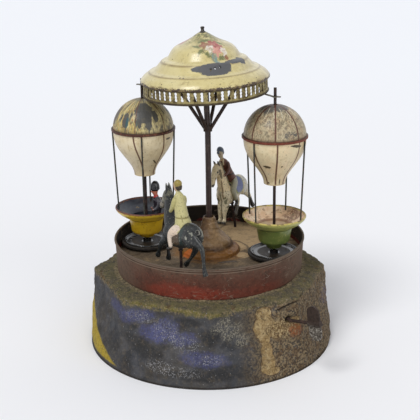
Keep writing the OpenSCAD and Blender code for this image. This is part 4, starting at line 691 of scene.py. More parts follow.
def basePaint():
    tones = {"ground": (75, 73, 71), "slate": (66, 68, 73), "dark": (46, 46, 47), "umber": (62, 54, 44),
             "blue": (80, 84, 130), "chalk": (158, 158, 160), "bone": (156, 150, 132), "olive": (92, 86, 58),
             "moss": (116, 108, 44), "yellow": (176, 150, 48), "plaster": (150, 126, 86),
             "cream": (186, 165, 124), "sand": (150, 131, 101), "rust": (140, 82, 50), "brown": (84, 62, 40),
             "crack": (36, 30, 24), "grey": (94, 94, 98), "straw": (196, 176, 70), "earth": (80, 74, 62),
             "crumb": (146, 130, 100), "dust": (120, 116, 110)}
    f = Finish("chippedBasePaint", tones, 0.85, shine=0.15)
    turn, radius, height = f.around()
    strip = f.unrolled(turn, height, 105.0)

    def oval(x, z, wide, tall, angle=0.0, ragged=0.9, grain=8.0, soft=0.35):
        return f.patch((x, z), (wide, tall), ragged, grain, angle, strip, soft)

    f.spots("slate", 0.85, 30.0, 0.5, 0.10)
    f.spots("dark", 0.6, 16.0, 0.4, 0.08, 1)
    f.spots("umber", 0.4, 20.0, 0.4, 0.10, 2)
    f.spots("grey", 0.45, 11.0, 0.36, 0.12, 30)
    f.spots("umber", 0.75, 12.0, 0.75, 0.12, 3, within=f.step(turn, 8.0, 26.0))
    blues = [(-96, 58, 16, 5, -6), (-70, 56, 18, 6, -14), (-42, 48, 15, 9, -30), (-24, 43, 12, 6, -10),
             (-6, 27, 19, 7, 3), (-52, 44, 14, 7, 0), (170, 40, 26, 9, 8), (260, 30, 20, 12, 0),
             (-220, 36, 28, 10, -10)]
    broken = f.blotches(1.6, 0.56, 0.12, 4)
    for x, z, wide, tall, angle in blues:
        f.lay(oval(x, z, wide, tall, angle, 1.4, 6.0), "blue", 0.18)
        f.lay(f.both(oval(x, z, wide, tall, angle, 1.4, 6.0), broken), "blue", 0.48)
    darks = [(0, 47, 9, 9, -40), (-58, 30, 20, 8, 20), (16, 16, 16, 6, 0), (-20, 58, 12, 4, 0),
             (-8, 12, 30, 5, 0)]
    for x, z, wide, tall, angle in darks:
        f.lay(oval(x, z, wide, tall, angle), "dark", 0.7)
    fine = f.both(f.either(f.blotches(1.0, 0.34, 0.03, 5), f.specks(1.3, 0.42, 3)),
                  f.blotches(7.0, 0.62, 0.10, 27))
    for x, z, wide, tall in ((-41, 47, 12, 9), (-66, 56, 18, 5), (-23, 39, 14, 7), (-43, 18, 12, 6),
                             (-26, 14, 18, 5), (-4, 27, 12, 5), (190, 50, 40, 16), (-180, 30, 40, 18)):
        f.lay(f.both(oval(x, z, wide, tall), fine), "chalk", 0.75)
    for x, z, wide, tall in ((9, 57, 10, 5), (18, 50, 10, 7), (27, 41, 7, 5)):
        f.spots("bone", 0.55, 1.3, 0.46, 0.05, 6, within=oval(x, z, wide, tall, -30))
    wedge = f.calc("MULTIPLY_ADD", height, 1.1, turn)  # its edge leans from the foot up to the left
    yellow = f.both(f.step(wedge, -42.0, -46.0), f.step(turn, -140.0, -120.0))
    yellow = f.both(yellow, f.step(height, 3.0, 5.5))
    yellow = f.both(yellow, f.step(f.wavy(height, 18.0, 7.0, 4.0, 0.7), 60.0, 50.0))
    f.spots("yellow", 0.9, 10.0, 0.9, 0.08, 7, within=yellow, rough=0.7)
    f.spots("moss", 0.8, 3.6, 0.34, 0.05, 8, within=yellow)
    f.spots("straw", 0.6, 1.4, 0.4, 0.05, 24, within=yellow)
    f.lay(f.both(yellow, f.specks(1.4, 0.3, 25)), "dark", 0.7)
    right = f.both(f.step(turn, 10.0, 32.0), f.step(turn, 160.0, 130.0))
    f.spots("sand", 0.75, 1.8, 0.5, 0.06, 9, within=right)
    f.spots("brown", 0.6, 5.0, 0.45, 0.08, 10, within=right)
    edge = f.wavy(f.calc("SUBTRACT", height, 4.5), 9.0, 6.0, 5.0, 0.75)
    ledge = f.step(edge, ledgeTop - 5.8, ledgeTop - 4.8)
    f.lay(ledge, "olive", 0.9, rough=0.9)
    f.spots("earth", 0.8, 9.0, 0.45, 0.08, 11, within=ledge)
    f.spots("dark", 0.55, 5.0, 0.34, 0.06, 31, within=ledge)
    f.spots("sand", 0.5, 1.8, 0.26, 0.05, 32, within=ledge)
    lip = f.between(edge, ledgeTop - 7.6, ledgeTop - 3.0, 1.6)
    warm = f.both(lip, f.between(turn, -48.0, 12.0, 8.0))
    f.spots("moss", 0.6, 6.0, 0.6, 0.1, 12, within=warm)
    f.spots("sand", 0.6, 1.6, 0.4, 0.05, 13, within=lip)
    bare = f.wavy(f.stored("bare"), 0.7, 2.2, 5.0, 0.78)
    bareMask = f.step(bare, 0.70, 0.82)
    f.lay(bareMask, "plaster", rough=0.95)
    f.spots("cream", 0.6, 5.0, 0.45, 0.07, 14, within=bareMask)
    f.spots("brown", 0.35, 1.3, 0.42, 0.05, 15, within=bareMask)
    f.spots("brown", 0.6, 3.4, 0.3, 0.05, 28, within=bareMask)
    f.lay(f.both(bareMask, f.scratches(6.0, 0.6, seed=29)), "crack", 0.7)
    fringe = f.between(bare, 0.50, 0.74, 0.06)
    f.spots("brown", 0.8, 1.2, 0.6, 0.05, 16, within=fringe)
    f.spots("brown", 0.85, 2.4, 0.6, 0.08, 17, within=oval(67, 44, 15, 10, 0, 1.2, 5.0))
    f.spots("cream", 0.75, 1.4, 0.42, 0.05, 26, within=oval(66, 45, 15, 10, 0, 1.2, 5.0))
    f.spots("rust", 0.8, 1.6, 0.62, 0.1, 18, within=oval(79, 39.5, 7.0, 5.4, 0, 1.0, 3.0))
    # cracks, and painted shade in the pit of the key hole
    f.lay(f.stored("crack"), "crack", rough=0.9)
    crumbs = f.both(f.step(radius, 92.0, 89.0), f.step(height, ledgeTop - 2.4, ledgeTop - 1.2))
    f.spots("crumb", 0.7, 1.8, 0.6, 0.06, 19, within=crumbs)
    f.spots("umber", 0.7, 2.6, 0.4, 0.05, 20, within=crumbs)
    f.mottle(1.5, "dark", "dust", 0.22, 21)
    f.mottle(4.5, "dark", "sand", 0.16, 22)
    f.lay(f.specks(1.8, 0.10, 8), "chalk", 0.6)
    # the crack tone also darkens the lowest 3 mm of the foot
    f.lay(f.step(height, 2.8, 1.2), "crack", 0.7)
    f.lay(f.blotches(2.0, 0.5, 0.12, 23), height=0.14)
    f.grain(1.0, 0.14)
    return f.close()


def figurePaint(name, rough=0.42, wear=(176, 176, 166), coat=0.2, worn=0.55, chips=0.1):
    tones = {"hollowShadeAndGrime": (30, 26, 22), "wear": wear, "grime": (36, 32, 27)}
    f = Finish(name, tones, rough, shine=0.3)
    f.colour = f.add("Attribute", {}, attribute_name="paint").outputs["Color"]
    edge = f.stored("edge")
    # hollows, where the edge value is low, are darkened: painted shade with grime
    f.spots("hollowShadeAndGrime", 0.6, 3.0, 0.85, 0.1, 1, within=f.step(edge, 0.46, 0.2))
    f.spots("wear", worn, 2.2, 0.5, 0.06, 2, within=f.step(edge, 0.60, 0.85))
    f.spots("grime", 0.4, 1.4, 0.28, 0.05, 3)
    f.lay(f.specks(1.1, 0.12), "wear", 0.45)
    f.spots("wear", 0.8, 6.0, 0.6, 0.1, 6, within=f.blotches(1.5, chips, 0.04, 5), rough=0.6)
    f.grain(0.9, 0.06)
    return f.close(coat)


# Meshes

def buildMesh(name, points, faces, smoothAngle=40.0):
    mesh = bpy.data.meshes.new(name)
    mesh.from_pydata((points / perMetre).tolist(), [], faces)
    mesh.shade_smooth()
    mesh.set_sharp_from_angle(angle=math.radians(smoothAngle))
    mesh.update()
    return mesh


# Four-sided faces between the neighbouring rows and columns of a grid. Columns close round on
# themselves; rows do too when loop is true.
def gridFaces(rows, columns, loop=False, first=0):
    index = np.arange(rows * columns).reshape(rows, columns) + first
    beside = np.roll(index, -1, axis=1)
    above = np.roll(index, -1, axis=0)
    quads = np.stack([index, beside, np.roll(beside, -1, axis=0), above], axis=2)
    return (quads if loop else quads[:-1]).reshape(-1, 4).tolist()


def fullTurn(columns):  # even steps round the axis, in radians
    return np.linspace(0, 2 * np.pi, columns, endpoint=False)


def link(name, data):
    thing = bpy.data.objects.new(name, data)
    bpy.context.scene.collection.objects.link(thing)
    return thing


def addPiece(name, mesh, material, body, slot, *replaced):
    piece = link(name, mesh)
    mesh.materials.append(material)
    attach(piece, body)
    if replaced:
        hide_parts(*replaced)
    print(name, "done", len(mesh.polygons))


def storeValue(mesh, name, values):
    attribute = mesh.attributes.new(name, "FLOAT", "POINT")
    attribute.data.foreach_set("value", values.astype(np.float32))


def storePaint(mesh, colours):
    attribute = mesh.attributes.new("paint", "FLOAT_COLOR", "POINT")
    full = np.ones((len(colours), 4), np.float32)
    full[:, :3] = colours
    attribute.data.foreach_set("color", full.ravel())


# The base: a profile carried round the axis. At each angle it goes up the side, from a round foot
# to an eight-sided edge, over a rounded edge and along the ledge, then back through the inside.
# Cloudy noise pushes the skin in and out, and bare spots, a crack and chips are sunk into it.
def lumpyBase():
    values = {"foot": 115.0, "corner": 109.5, "edge": 70.0, "round": 2.4, "drumFoot": 87.4,
              "columns": 600, "sideRows": 66, "ledgeRows": 22, "lump": 1.0, "grain": 0.4, "bareDepth": 1.0,
              "crackDepth": 1.3, "keyHoleDepth": 3.5, "chipDepth": 1.3, "across": 105.0,
              "ledgeThick": 6.0, "inner": 62.0, "hollow": 97.0, "board": 101.0, "boardTop": 6.1,
              "keyTurn": 39.5, "keyHeight": 51.0, "crackStart": 60.0, "crackHeight": 61.0, "crackRise": 0.19}
    # Bare patches: place round the base, height, half width, half height and raggedness
    bareSpots = [(49, 59, 7.4, 7), (48.5, 49.5, 12, 10), (47.5, 38.5, 5, 7), (48.4, 28, 5.6, 8),
                 (49, 17.5, 7.6, 8.6), (52.5, 9.5, 6.6, 3.6), (61, 46, 6, 7, 0.6), (72, 45, 9, 6, 0.7),
                 (-184, 40, 9, 15), (230, 30, 14, 9)]
    top, edge, bend = ledgeTop, values["edge"], values["round"]
    angle = fullTurn(values["columns"])
    flat = values["corner"] * math.cos(math.radians(22.5))
    octagon = flat / np.cos(np.radians(np.degrees(angle) % 45 - 22.5))
    rows = []  # radius, height, and how far the skin moves outwards and upwards
    for share in np.linspace(0, 1, values["sideRows"]):
        height = share * (edge - bend)
        part = height / edge
        blend = part * part * (3 - 2 * part)
        rows.append((values["foot"] * (1 - blend) + octagon * blend, height, 1.0, 0.0))
    for corner in np.radians((15, 30, 45, 60, 75)):
        out, up = math.cos(corner), math.sin(corner)
        rows.append((octagon - bend + bend * out, edge - bend + bend * up, out, up))
    for share in np.linspace(0, 1, values["ledgeRows"]):
        radius = (octagon - bend) * (1 - share) + values["drumFoot"] * share
        rows.append((radius, edge + (top - edge) * share, 0.0, 1.0))
    under = top - values["ledgeThick"]
    inner, hollow, board, boardTop = (values[name] for name in ("inner", "hollow", "board", "boardTop"))
    inside = ((inner, top), (inner, under), (hollow, under), (hollow, boardTop), (board, boardTop),
              (board, 0.0))
    rows += [(radius, height, 0.0, 0.0) for radius, height in inside]
    radius, height = (np.array([row[k] + 0 * angle for row in rows]) for k in (0, 1))
    push = np.array([row[2:] for row in rows])
    points = np.stack([radius * np.cos(angle), radius * np.sin(angle), height], axis=2)
    flatPoints = points.reshape(-1, 3)
    front = np.degrees(np.arctan2(flatPoints[:, 0], -flatPoints[:, 1]))
    around = np.radians(front) * values["across"]
    up = flatPoints[:, 2]
    ragged = cloud(flatPoints, 9.0, 3, 4)

    def spot(x, z, wide, tall, rough=0.22):
        far = np.hypot((around - x) / wide, (up - z) / tall)
        return 1 - ease(far + ragged * rough, 0.75, 1.15)

    bare = np.maximum.reduce([spot(*place) for place in bareSpots])
    # The crack runs up to the right, just under the edge
    crackLine = values["crackHeight"] + (around - values["crackStart"]) * values["crackRise"] + ragged * 0.8
    crack = (1 - ease(np.abs(up - crackLine), 0.3, 1.1)) * ease(around, 58, 64) * (1 - ease(around, 92, 100))
    keyAround = np.radians(values["keyTurn"]) * values["across"]
    # the pit round the key's shaft, which basePaint darkens as painted shade of the hole
    keyHole = 1 - ease(np.hypot(around - keyAround, up - values["keyHeight"]), 2.2, 3.6)
    edgeChip = ease(cloud(flatPoints, 8.0, 7), 0.35, 0.75) * np.exp(-((up - (edge - 1.0)) / 1.6) ** 2)
    rough = 1 + 0.9 * ease(front, 36, 60) * (1 - ease(front, 140, 160))
    relief = values["lump"] * cloud(flatPoints, 34.0, 1) * rough
    relief += values["grain"] * rough * cloud(flatPoints, 5.0, 2)
    relief -= values["bareDepth"] * bare * (1 + 0.25 * cloud(flatPoints, 2.2, 5))
    relief -= values["crackDepth"] * crack + values["keyHoleDepth"] * keyHole
    relief -= values["chipDepth"] * edgeChip
    relief = (relief * ease(up, 0.0, 3.0)).reshape(points.shape[:2])
    spread = np.stack([np.cos(angle), np.sin(angle), np.zeros_like(angle)], axis=1)
    outwards = push[:, None, 0:1] * spread[None] + push[:, None, 1:2] * np.array((0, 0, 1.0))
    points += relief[:, :, None] * outwards
    faces = gridFaces(len(rows), values["columns"], loop=True)
    mesh = buildMesh("lumpyBase", points.reshape(-1, 3), faces, 60.0)
    storeValue(mesh, "bare", np.maximum(bare, edgeChip * 0.38))
    # the crack value also carries the key hole pit, darkened as painted shade
    storeValue(mesh, "crack", np.maximum(crack, ease(keyHole, 0.3, 0.8)))
    addPiece("lumpyBase", mesh, basePaint(), "base", "base_paint", "base_shell")


# The creased skin of the deck: a disc whose height is ridged noise, highest where two folds meet
def creasedDeck():
    values = {"inner": 5.0, "outer": 85.9, "rings": 110, "columns": 360, "lift": 0.06, "fold": 0.42,
              "under": 0.3}
    radius = np.linspace(values["inner"], values["outer"], values["rings"])[:, None]
    angle = fullTurn(values["columns"])[None]
    flat = np.dstack([radius * np.cos(angle), radius * np.sin(angle), np.zeros_like(radius * angle)])
    spots = flat.reshape(-1, 3)
    folds = 1 - np.abs(cloud(spots, 26.0, 11, 2))
    swell = 0.5 * ease(folds, 0.2, 1.0) + 0.4 * ease(cloud(spots, 15.0, 12), -0.8, 0.8)
    spots[:, 2] = deckTop + (values["lift"] + values["fold"] * swell)
    under = flat[::-1].reshape(-1, 3).copy()
    under[:, 2] = deckTop - values["under"]
    faces = gridFaces(2 * values["rings"], values["columns"], loop=True)
    mesh = buildMesh("creasedDeck", np.vstack([spots, under]), faces, 50.0)
    # the crease value marks the fold lines that deckPaint darkens as painted shade
    storeValue(mesh, "crease", np.concatenate([ease(folds, 0.9, 1.0), np.zeros(len(spots))]))
    addPiece("creasedDeck", mesh, deckPaint(), "carousel", "deck_paint")


# The modelled mound: its outline goes round the axis, pushed out and in by cloudy noise and by flat
# strokes of a tool. The outline is height over the deck and radius.
def lumpyMound():
    values = {"rows": 90, "columns": 220, "lump": 0.55, "stroke": 0.5, "grain": 0.16, "sink": 0.5,
              "core": 4.4}
    outline = np.array([(0.1, 29.0), (1.6, 28.9), (3.6, 28.6), (5.2, 27.0), (6.2, 25.0), (7.0, 23.2),
                        (8.6, 22.7), (10.6, 21.9), (13.4, 20.2), (15.4, 18.0), (17.0, 15.4), (19.4, 12.4),
                        (22.6, 10.0), (26.4, 8.3), (30.0, 7.2), (33.0, 5.9), (34.3, 5.0)])
    steps = np.concatenate([[0], np.cumsum(np.linalg.norm(np.diff(outline, axis=0), axis=1))])
    along = np.linspace(0, steps[-1], values["rows"])
    up, out = (np.interp(along, steps, outline[:, k]) for k in (0, 1))
    for _ in range(3):
        for line in (up, out):
            line[1:-1] = (line[:-2] + 2 * line[1:-1] + line[2:]) / 4
    angle = fullTurn(values["columns"])[None]

    def carried(outwards, upwards):  # a profile carried round the axis
        return np.dstack([outwards[:, None] * np.cos(angle), outwards[:, None] * np.sin(angle),
                          upwards[:, None] + 0 * angle]).reshape(-1, 3)

    spots = carried(out, up)
    lifted = spots + (0, 0, deckTop)
    strokes = cloud(lifted * (1, 1, 3.2), 11.0, 24, 2)
    relief = values["lump"] * cloud(lifted, 13.0, 21, 2) - values["stroke"] * ease(strokes, 0.1, 0.5)
    relief += values["grain"] * cloud(lifted, 2.6, 22, 3)
    hold = ease(spots[:, 2], 0.0, 1.4) * (1 - ease(spots[:, 2], 30.0, 34.0))
    relief = relief * hold - values["sink"] * hold
    length = np.maximum(np.hypot(np.gradient(out), np.gradient(up)), 1e-6)
    lifted += relief[:, None] * carried(np.gradient(up) / length, -np.gradient(out) / length)
    core = lifted.reshape(values["rows"], -1, 3).copy()
    core[:, :, :2] *= (values["core"] / np.hypot(core[:, :, 0], core[:, :, 1]))[:, :, None]
    points = np.vstack([lifted, core[[-1, 0]].reshape(-1, 3)])
    mesh = buildMesh("lumpyMound", points, gridFaces(values["rows"] + 2, values["columns"], loop=True), 60.0)
    addPiece("lumpyMound", mesh, moundPaint(), "carousel", "mound_paint", "mound")


# Figures

# Rings round a smooth line. Each station is [forward, up, half depth, half width, sideways]; a
# Catmull-Rom curve runs through the stations, and each ring is an ellipse square to the line.
# A station on the middle line leaves out the last number.
def limb(stations, sides=20, between=4):
    s = np.array([(*station, 0)[:5] for station in stations], float)
    reach = np.vstack([s[:1], s, s[-1:]])
    t = np.linspace(0, len(s) - 1, (len(s) - 1) * between + 1)
    i = np.minimum(t.astype(int), len(s) - 2)
    f = (t - i)[:, None]
    a, b, c, d = (reach[i + k] for k in range(4))
    line = 0.5 * (2 * b + (c - a) * f + (2 * a - 5 * b + 4 * c - d) * f ** 2
                  + (3 * b - a - 3 * c + d) * f ** 3)
    line[:, 2:4] = np.maximum(line[:, 2:4], 0.15)
    slope = np.arctan2(np.gradient(line[:, 1]), np.gradient(line[:, 0]))[:, None]
    q = fullTurn(sides)[None]
    x = line[:, 0:1] - np.sin(slope) * line[:, 2:3] * np.sin(q)
    y = line[:, 4:5] + line[:, 3:4] * np.cos(q)
    z = line[:, 1:2] + np.cos(slope) * line[:, 2:3] * np.sin(q)
    return np.dstack([x, y, z]), line


# An egg: rings of a ball, stretched by three half sizes, as limb stations
def lump(forward, side, up, deep, wide, tall):
    angle = np.radians((-88, -60, -35, -12, 12, 35, 60, 88))
    return [[forward + deep * math.sin(a), up, tall * math.cos(a), wide * math.cos(a), side] for a in angle]


def sided(stations, side):  # 1 keeps the stations, -1 puts them on the other side
    return [[*station[:4], station[4] * side] for station in stations]


def horseLimbs(horse):
    limbs = [("body", horse["trunk"])] + [(part, horse[part]) for part in ("neck", "head", "mane")]
    limbs += [("ear", sided(horse["ear"], side)) for side in (1, -1)]
    for part, swellings in (("body", horse["muscles"]), ("head", horse["cheeks"])):
        for swelling in swellings:
            limbs += [(part, sided(lump(*swelling), side)) for side in (1, -1)]
    return limbs + [("leg", leg) for leg in horse["legs"]] + horse["more"]


def personLimbs(person):
    limbs = list(person["parts"])
    for side in (-1, 1):
        limbs += [(part, sided(person[part], side)) for part in ("arm", "leg") if part in person]
    return limbs


# Closed limbs become one skin by a voxel remesh, and are smoothed
def mergeLimbs(name, limbs, voxel, smoothing=3):
    points, faces, lines, count = [], [], [], 0
    for part, stations in limbs:
        ring, line = limb(stations)
        rows, columns = ring.shape[:2]
        last = count + (rows - 1) * columns
        faces += gridFaces(rows, columns, first=count)
        faces += [list(range(count + columns - 1, count - 1, -1)), list(range(last, last + columns))]
        points.append(ring.reshape(-1, 3))
        lines.append((part, line))
        count += rows * columns
    rough = link(name + "Rough", buildMesh(name + "Rough", np.vstack(points), faces))
    merge = rough.modifiers.new("merge", "REMESH")
    merge.mode = "VOXEL"
    merge.voxel_size = voxel / perMetre
    soften = rough.modifiers.new("soften", "SMOOTH")
    soften.factor = 0.5
    soften.iterations = smoothing
    mesh = bpy.data.meshes.new_from_object(rough.evaluated_get(bpy.context.evaluated_depsgraph_get()))
    bpy.data.objects.remove(rough)
    mesh.name = name
    return mesh, lines


# Each point takes the coat of the limb whose line is nearest, measured in that limb's thickness.
# Marks then go over the coats, on both sides where their centre is off the middle line.
def paintCast(figure, lines, spots):
    def paint(tone):
        return np.array(screen(*figure.get("tones", {}).get(tone, tone)))[:3]

    values = {"thinnest": 0.5, "blend": 0.04, "wobble": 2.4, "inner": 0.9, "outer": 1.08}
    size = len(spots)
    nearest = np.full(size, np.inf)
    colour = np.zeros((size, 3))
    for part, line in lines:
        axis = np.stack([line[:, 0], line[:, 4], line[:, 1]], axis=1)
        thick = (line[:, 2] + line[:, 3]) / 2
        far = np.linalg.norm(spots[:, None] - axis[None], axis=2) / np.maximum(thick, values["thinnest"])
        best = far.argmin(axis=1)
        close = far[np.arange(size), best]
        chosen = close < nearest
        nearest = np.where(chosen, close, nearest)
        coat = figure["coats"][part]
        tone = paint(coat[0]) + np.zeros((size, 3))
        if len(coat) > 1:
            share = best / (len(line) - 1)
            share = ease(share, coat[2] - values["blend"], coat[2] + values["blend"])[:, None]
            tone = tone * (1 - share) + paint(coat[1]) * share
        colour = np.where(chosen[:, None], tone, colour)
    wobble = cloud(spots, values["wobble"], 5)
    push = np.zeros(size)
    for centre, reach, tone, raised, blur in figure["marks"]:
        for side in ((1,) if centre[1] == 0 else (1, -1)):
            offset = (spots - np.array((centre[0], centre[1] * side, centre[2]))) / np.array(reach)
            far = (np.abs(offset) ** 3).sum(axis=1) ** (1 / 3)
            mask = 1 - ease(far + wobble * blur, values["inner"], values["outer"])
            colour = colour * (1 - mask[:, None]) + paint(tone) * mask[:, None]
            push += mask * raised
    return colour, push


# How proud each point stands of its neighbours: 0.5 is flat, 1 is a sharp ridge
def proudness(mesh, spots, normal, rounds=4, ridge=0.5):
    edges = np.zeros(len(mesh.edges) * 2, np.int32)
    mesh.edges.foreach_get("vertices", edges)
    a, b = edges.reshape(-1, 2).T
    average = spots.copy()
    for _ in range(rounds):
        total = np.zeros_like(spots)
        number = np.zeros(len(spots))
        for here, there in ((a, b), (b, a)):
            np.add.at(total, here, average[there])
            np.add.at(number, here, 1)
        average = total / number[:, None]
    return np.clip(0.5 + ((spots - average) * normal).sum(axis=1) / ridge, 0, 1)


def readPoints(mesh, kind):
    numbers = np.zeros(len(mesh.vertices) * 3, np.float32)
    mesh.vertices.foreach_get(kind, numbers)
    return numbers.reshape(-1, 3).astype(float)


def castFigure(name, figure, limbs, place, body, node):
    mesh, lines = mergeLimbs(name, limbs, figure["voxel"])
    spots = readPoints(mesh, "co") * perMetre
    normal = readPoints(mesh, "normal")
    colour, push = paintCast(figure, lines, spots)
    spots += normal * push[:, None]
    turn = np.array(place)
    moved = spots @ turn[:3, :3].T + turn[:3, 3]
    storePaint(mesh, colour)
    storeValue(mesh, "edge", proudness(mesh, spots, normal))
    mesh.vertices.foreach_set("co", (moved / perMetre).astype(np.float32).ravel())
    mesh.shade_smooth()
    mesh.update()
    addPiece(name, mesh, figurePaint(*figure["finish"]), body, node + "_paint", node)


# From a horse's own frame, with the peg at the origin, to its place on the deck. A bent peg leans
# to the left about a point just above the deck.
def figurePlace(joint, heading, tilt, bend=1.7):
    at = jointPlace[joint]
    matrix = Matrix.Translation((at[0], at[1], deckTop + bend)) @ Matrix.Rotation(math.radians(-tilt), 4, "Y")
    return matrix @ Matrix.Translation((0, 0, -bend)) @ Matrix.Rotation(math.radians(heading), 4, "Z")


# What follows belongs to the figures, in the order of their own frames. Coats are a part's tone, or
# its upper and lower tone and where they meet. A mark is centre, half size, tone, raised height and
# raggedness. The finish is the material's name and the values of figurePaint. A horse's place is its
# joint, heading and tilt; the passenger's is a step to the right and back from the rod, and heading.
darkHorse = {
    "place": ("dark_horse_swivel", 128, 0),
    "trunk": [[20.4, 37.6, 2.6, 2.2], [19, 37.8, 6.4, 4.6], [15, 38.2, 9.6, 6.6], [8, 38.4, 10.8, 7.8],
        [0, 38.6, 11, 8.2], [-6, 40.2, 10.2, 7.8], [-12, 43, 10.8, 8], [-17.6, 45, 9.6, 7.8],
        [-22, 44.8, 7, 6], [-24.8, 44, 3.2, 3]],
    "muscles": [(12.5, 3.6, 38.5, 6.5, 4.2, 8.4), (-17.5, 4.2, 42.5, 8.2, 4.4, 9.2)],
    "neck": [[9.6, 37, 8.4, 5.6], [13.2, 46, 8.2, 5], [15.2, 55, 6.8, 4.2], [15.6, 63, 5.4, 3.5],
        [15.4, 70, 4.6, 3.1], [15.4, 75, 3.2, 2.5], [15.4, 77, 1.2, 1]],
    "head": [[12.4, 75.2, 1.6, 1.4], [14, 74.6, 3.8, 2.8], [17.4, 72.6, 4.6, 3.2], [20.6, 68.4, 3.9, 2.8],
        [23.6, 63.8, 2.9, 2.2], [25.6, 60.8, 2.9, 2.4], [27.2, 58.4, 1.7, 1.6]],
    "mane": [[2.6, 47.6, 1.6, 1], [5, 51.5, 2.8, 1.4], [7, 56, 2.4, 1.3], [8.2, 60, 3, 1.5],
        [9.2, 64, 2.4, 1.3], [10.2, 68, 3, 1.5], [11.6, 73, 2.2, 1.2], [14, 78, 1.7, 1.1]],
    "ear": [[15.4, 74.6, 2.8, 1.6, 1.2], [16.2, 78.4, 2.1, 1.3, 1.3], [17, 81.2, 1.3, 0.8, 1.4],
        [17.6, 83.4, 0.4, 0.3, 1.4]],
    "cheeks": [(17.6, 1.6, 69.6, 3, 2, 3.6)],
    "legs": [
        [[14, 35, 5, 3, 4.2], [19, 29.8, 3.8, 2.8, 4.6], [22.8, 25.4, 2.5, 2.1, 4.8],
            [24.3, 22.8, 2.3, 2, 4.8], [25.4, 20.4, 1.7, 1.5, 4.8], [26.8, 17.4, 1.8, 1.6, 4.8],
            [27.7, 15.2, 2.5, 2.1, 4.8], [28.7, 13, 2.6, 2.3, 4.8]],
        [[13, 34, 5, 3, -4.2], [19, 28, 3.8, 2.8, -4.6], [24, 24, 2.4, 2.1, -4.8],
            [25.7, 21, 2.2, 1.9, -4.8], [25.8, 17, 1.6, 1.5, -4.8], [25.2, 13.6, 1.8, 1.6, -4.8],
            [25.4, 10.8, 2.5, 2.1, -4.8], [26.2, 8.2, 2.6, 2.3, -4.8]],
        [[-18, 43.4, 9, 3.4, 4.4], [-25, 42.6, 6.4, 3.4, 4.6], [-31, 41, 4, 2.6, 4.8],
            [-35.6, 38.8, 2.8, 2.1, 4.8], [-37.6, 34, 2.2, 1.8, 4.8], [-38.6, 27, 1.6, 1.5, 4.8],
            [-39.2, 21.6, 1.8, 1.6, 4.8], [-40.2, 17.6, 2.4, 2.1, 4.8], [-41.6, 14.8, 2.5, 2.2, 4.8]],
        [[-17, 43, 9, 3.4, -4.4], [-16, 35, 6.2, 3.4, -4.8], [-14.8, 29.6, 3.4, 2.6, -5],
            [-13, 26, 2.6, 2.1, -5], [-8.6, 20, 1.6, 1.5, -5], [-4.4, 15.2, 1.8, 1.6, -5],
            [-1.6, 12, 2.4, 2.1, -5], [0.4, 10.2, 2.3, 2, -5]]],
    "more": [],
    "tones": {"ground": (35, 37, 37), "deep": (22, 24, 25), "pale": (128, 128, 116), "cloth": (80, 64, 48),
        "band": (20, 18, 16), "green": (38, 52, 50)},
    "coats": {"body": ("ground",), "neck": ("ground",), "head": ((88, 86, 74),), "mane": ("deep",),
        "ear": ("deep",), "leg": ("ground", "deep", 0.62)},
    "marks": [
        ((-9, 7, 43), (4, 6, 9), "green", 0, 0.5),
        ((-1.5, 0, 42), (7, 12, 10), "cloth", 0.45, 0.05),
        ((6.2, 0, 36), (1.6, 14, 16), "band", 0.3, 0),
        ((19.4, 2.9, 70.4), (1, 1, 0.9), (22, 20, 18), 0.15, 0),
        ((26.2, 1.4, 59.8), (0.8, 0.8, 0.8), (20, 18, 16), -0.3, 0),
        # near-black tail hole: painted shade in its depth
        ((-24.2, 0, 48.4), (2.0, 1.5, 1.8), (8, 7, 6), -1.6, 0),
        ((22.6, 0, 64.8), (0.9, 5, 1.2), "band", 0.22, 0),
        ((16.4, 0, 74), (1, 5, 1), "band", 0.2, 0),
        ((20, 0, 68.6), (3.6, 4, 3.4), (124, 120, 104), 0, 0.8),
        ((24, 0, 62.4), (3, 4, 2.4), (128, 120, 106), 0, 0.5),
        # a paler streak down the front of the neck: painted highlight
        ((19.6, 0, 50), (2.4, 1.4, 12), (96, 98, 92), 0, 0.8),
        ((-24, 5.4, 44), (3, 1.2, 6), "pale", 0, 0.9),
        ((-19, 8, 44), (1.4, 2, 1.6), (150, 150, 138), 0, 0.4)],
    "voxel": 0.42,
    "finish": ("darkHorsePaint", 0.38, (148, 146, 134), 0.1, 0.8, 0.20)
}

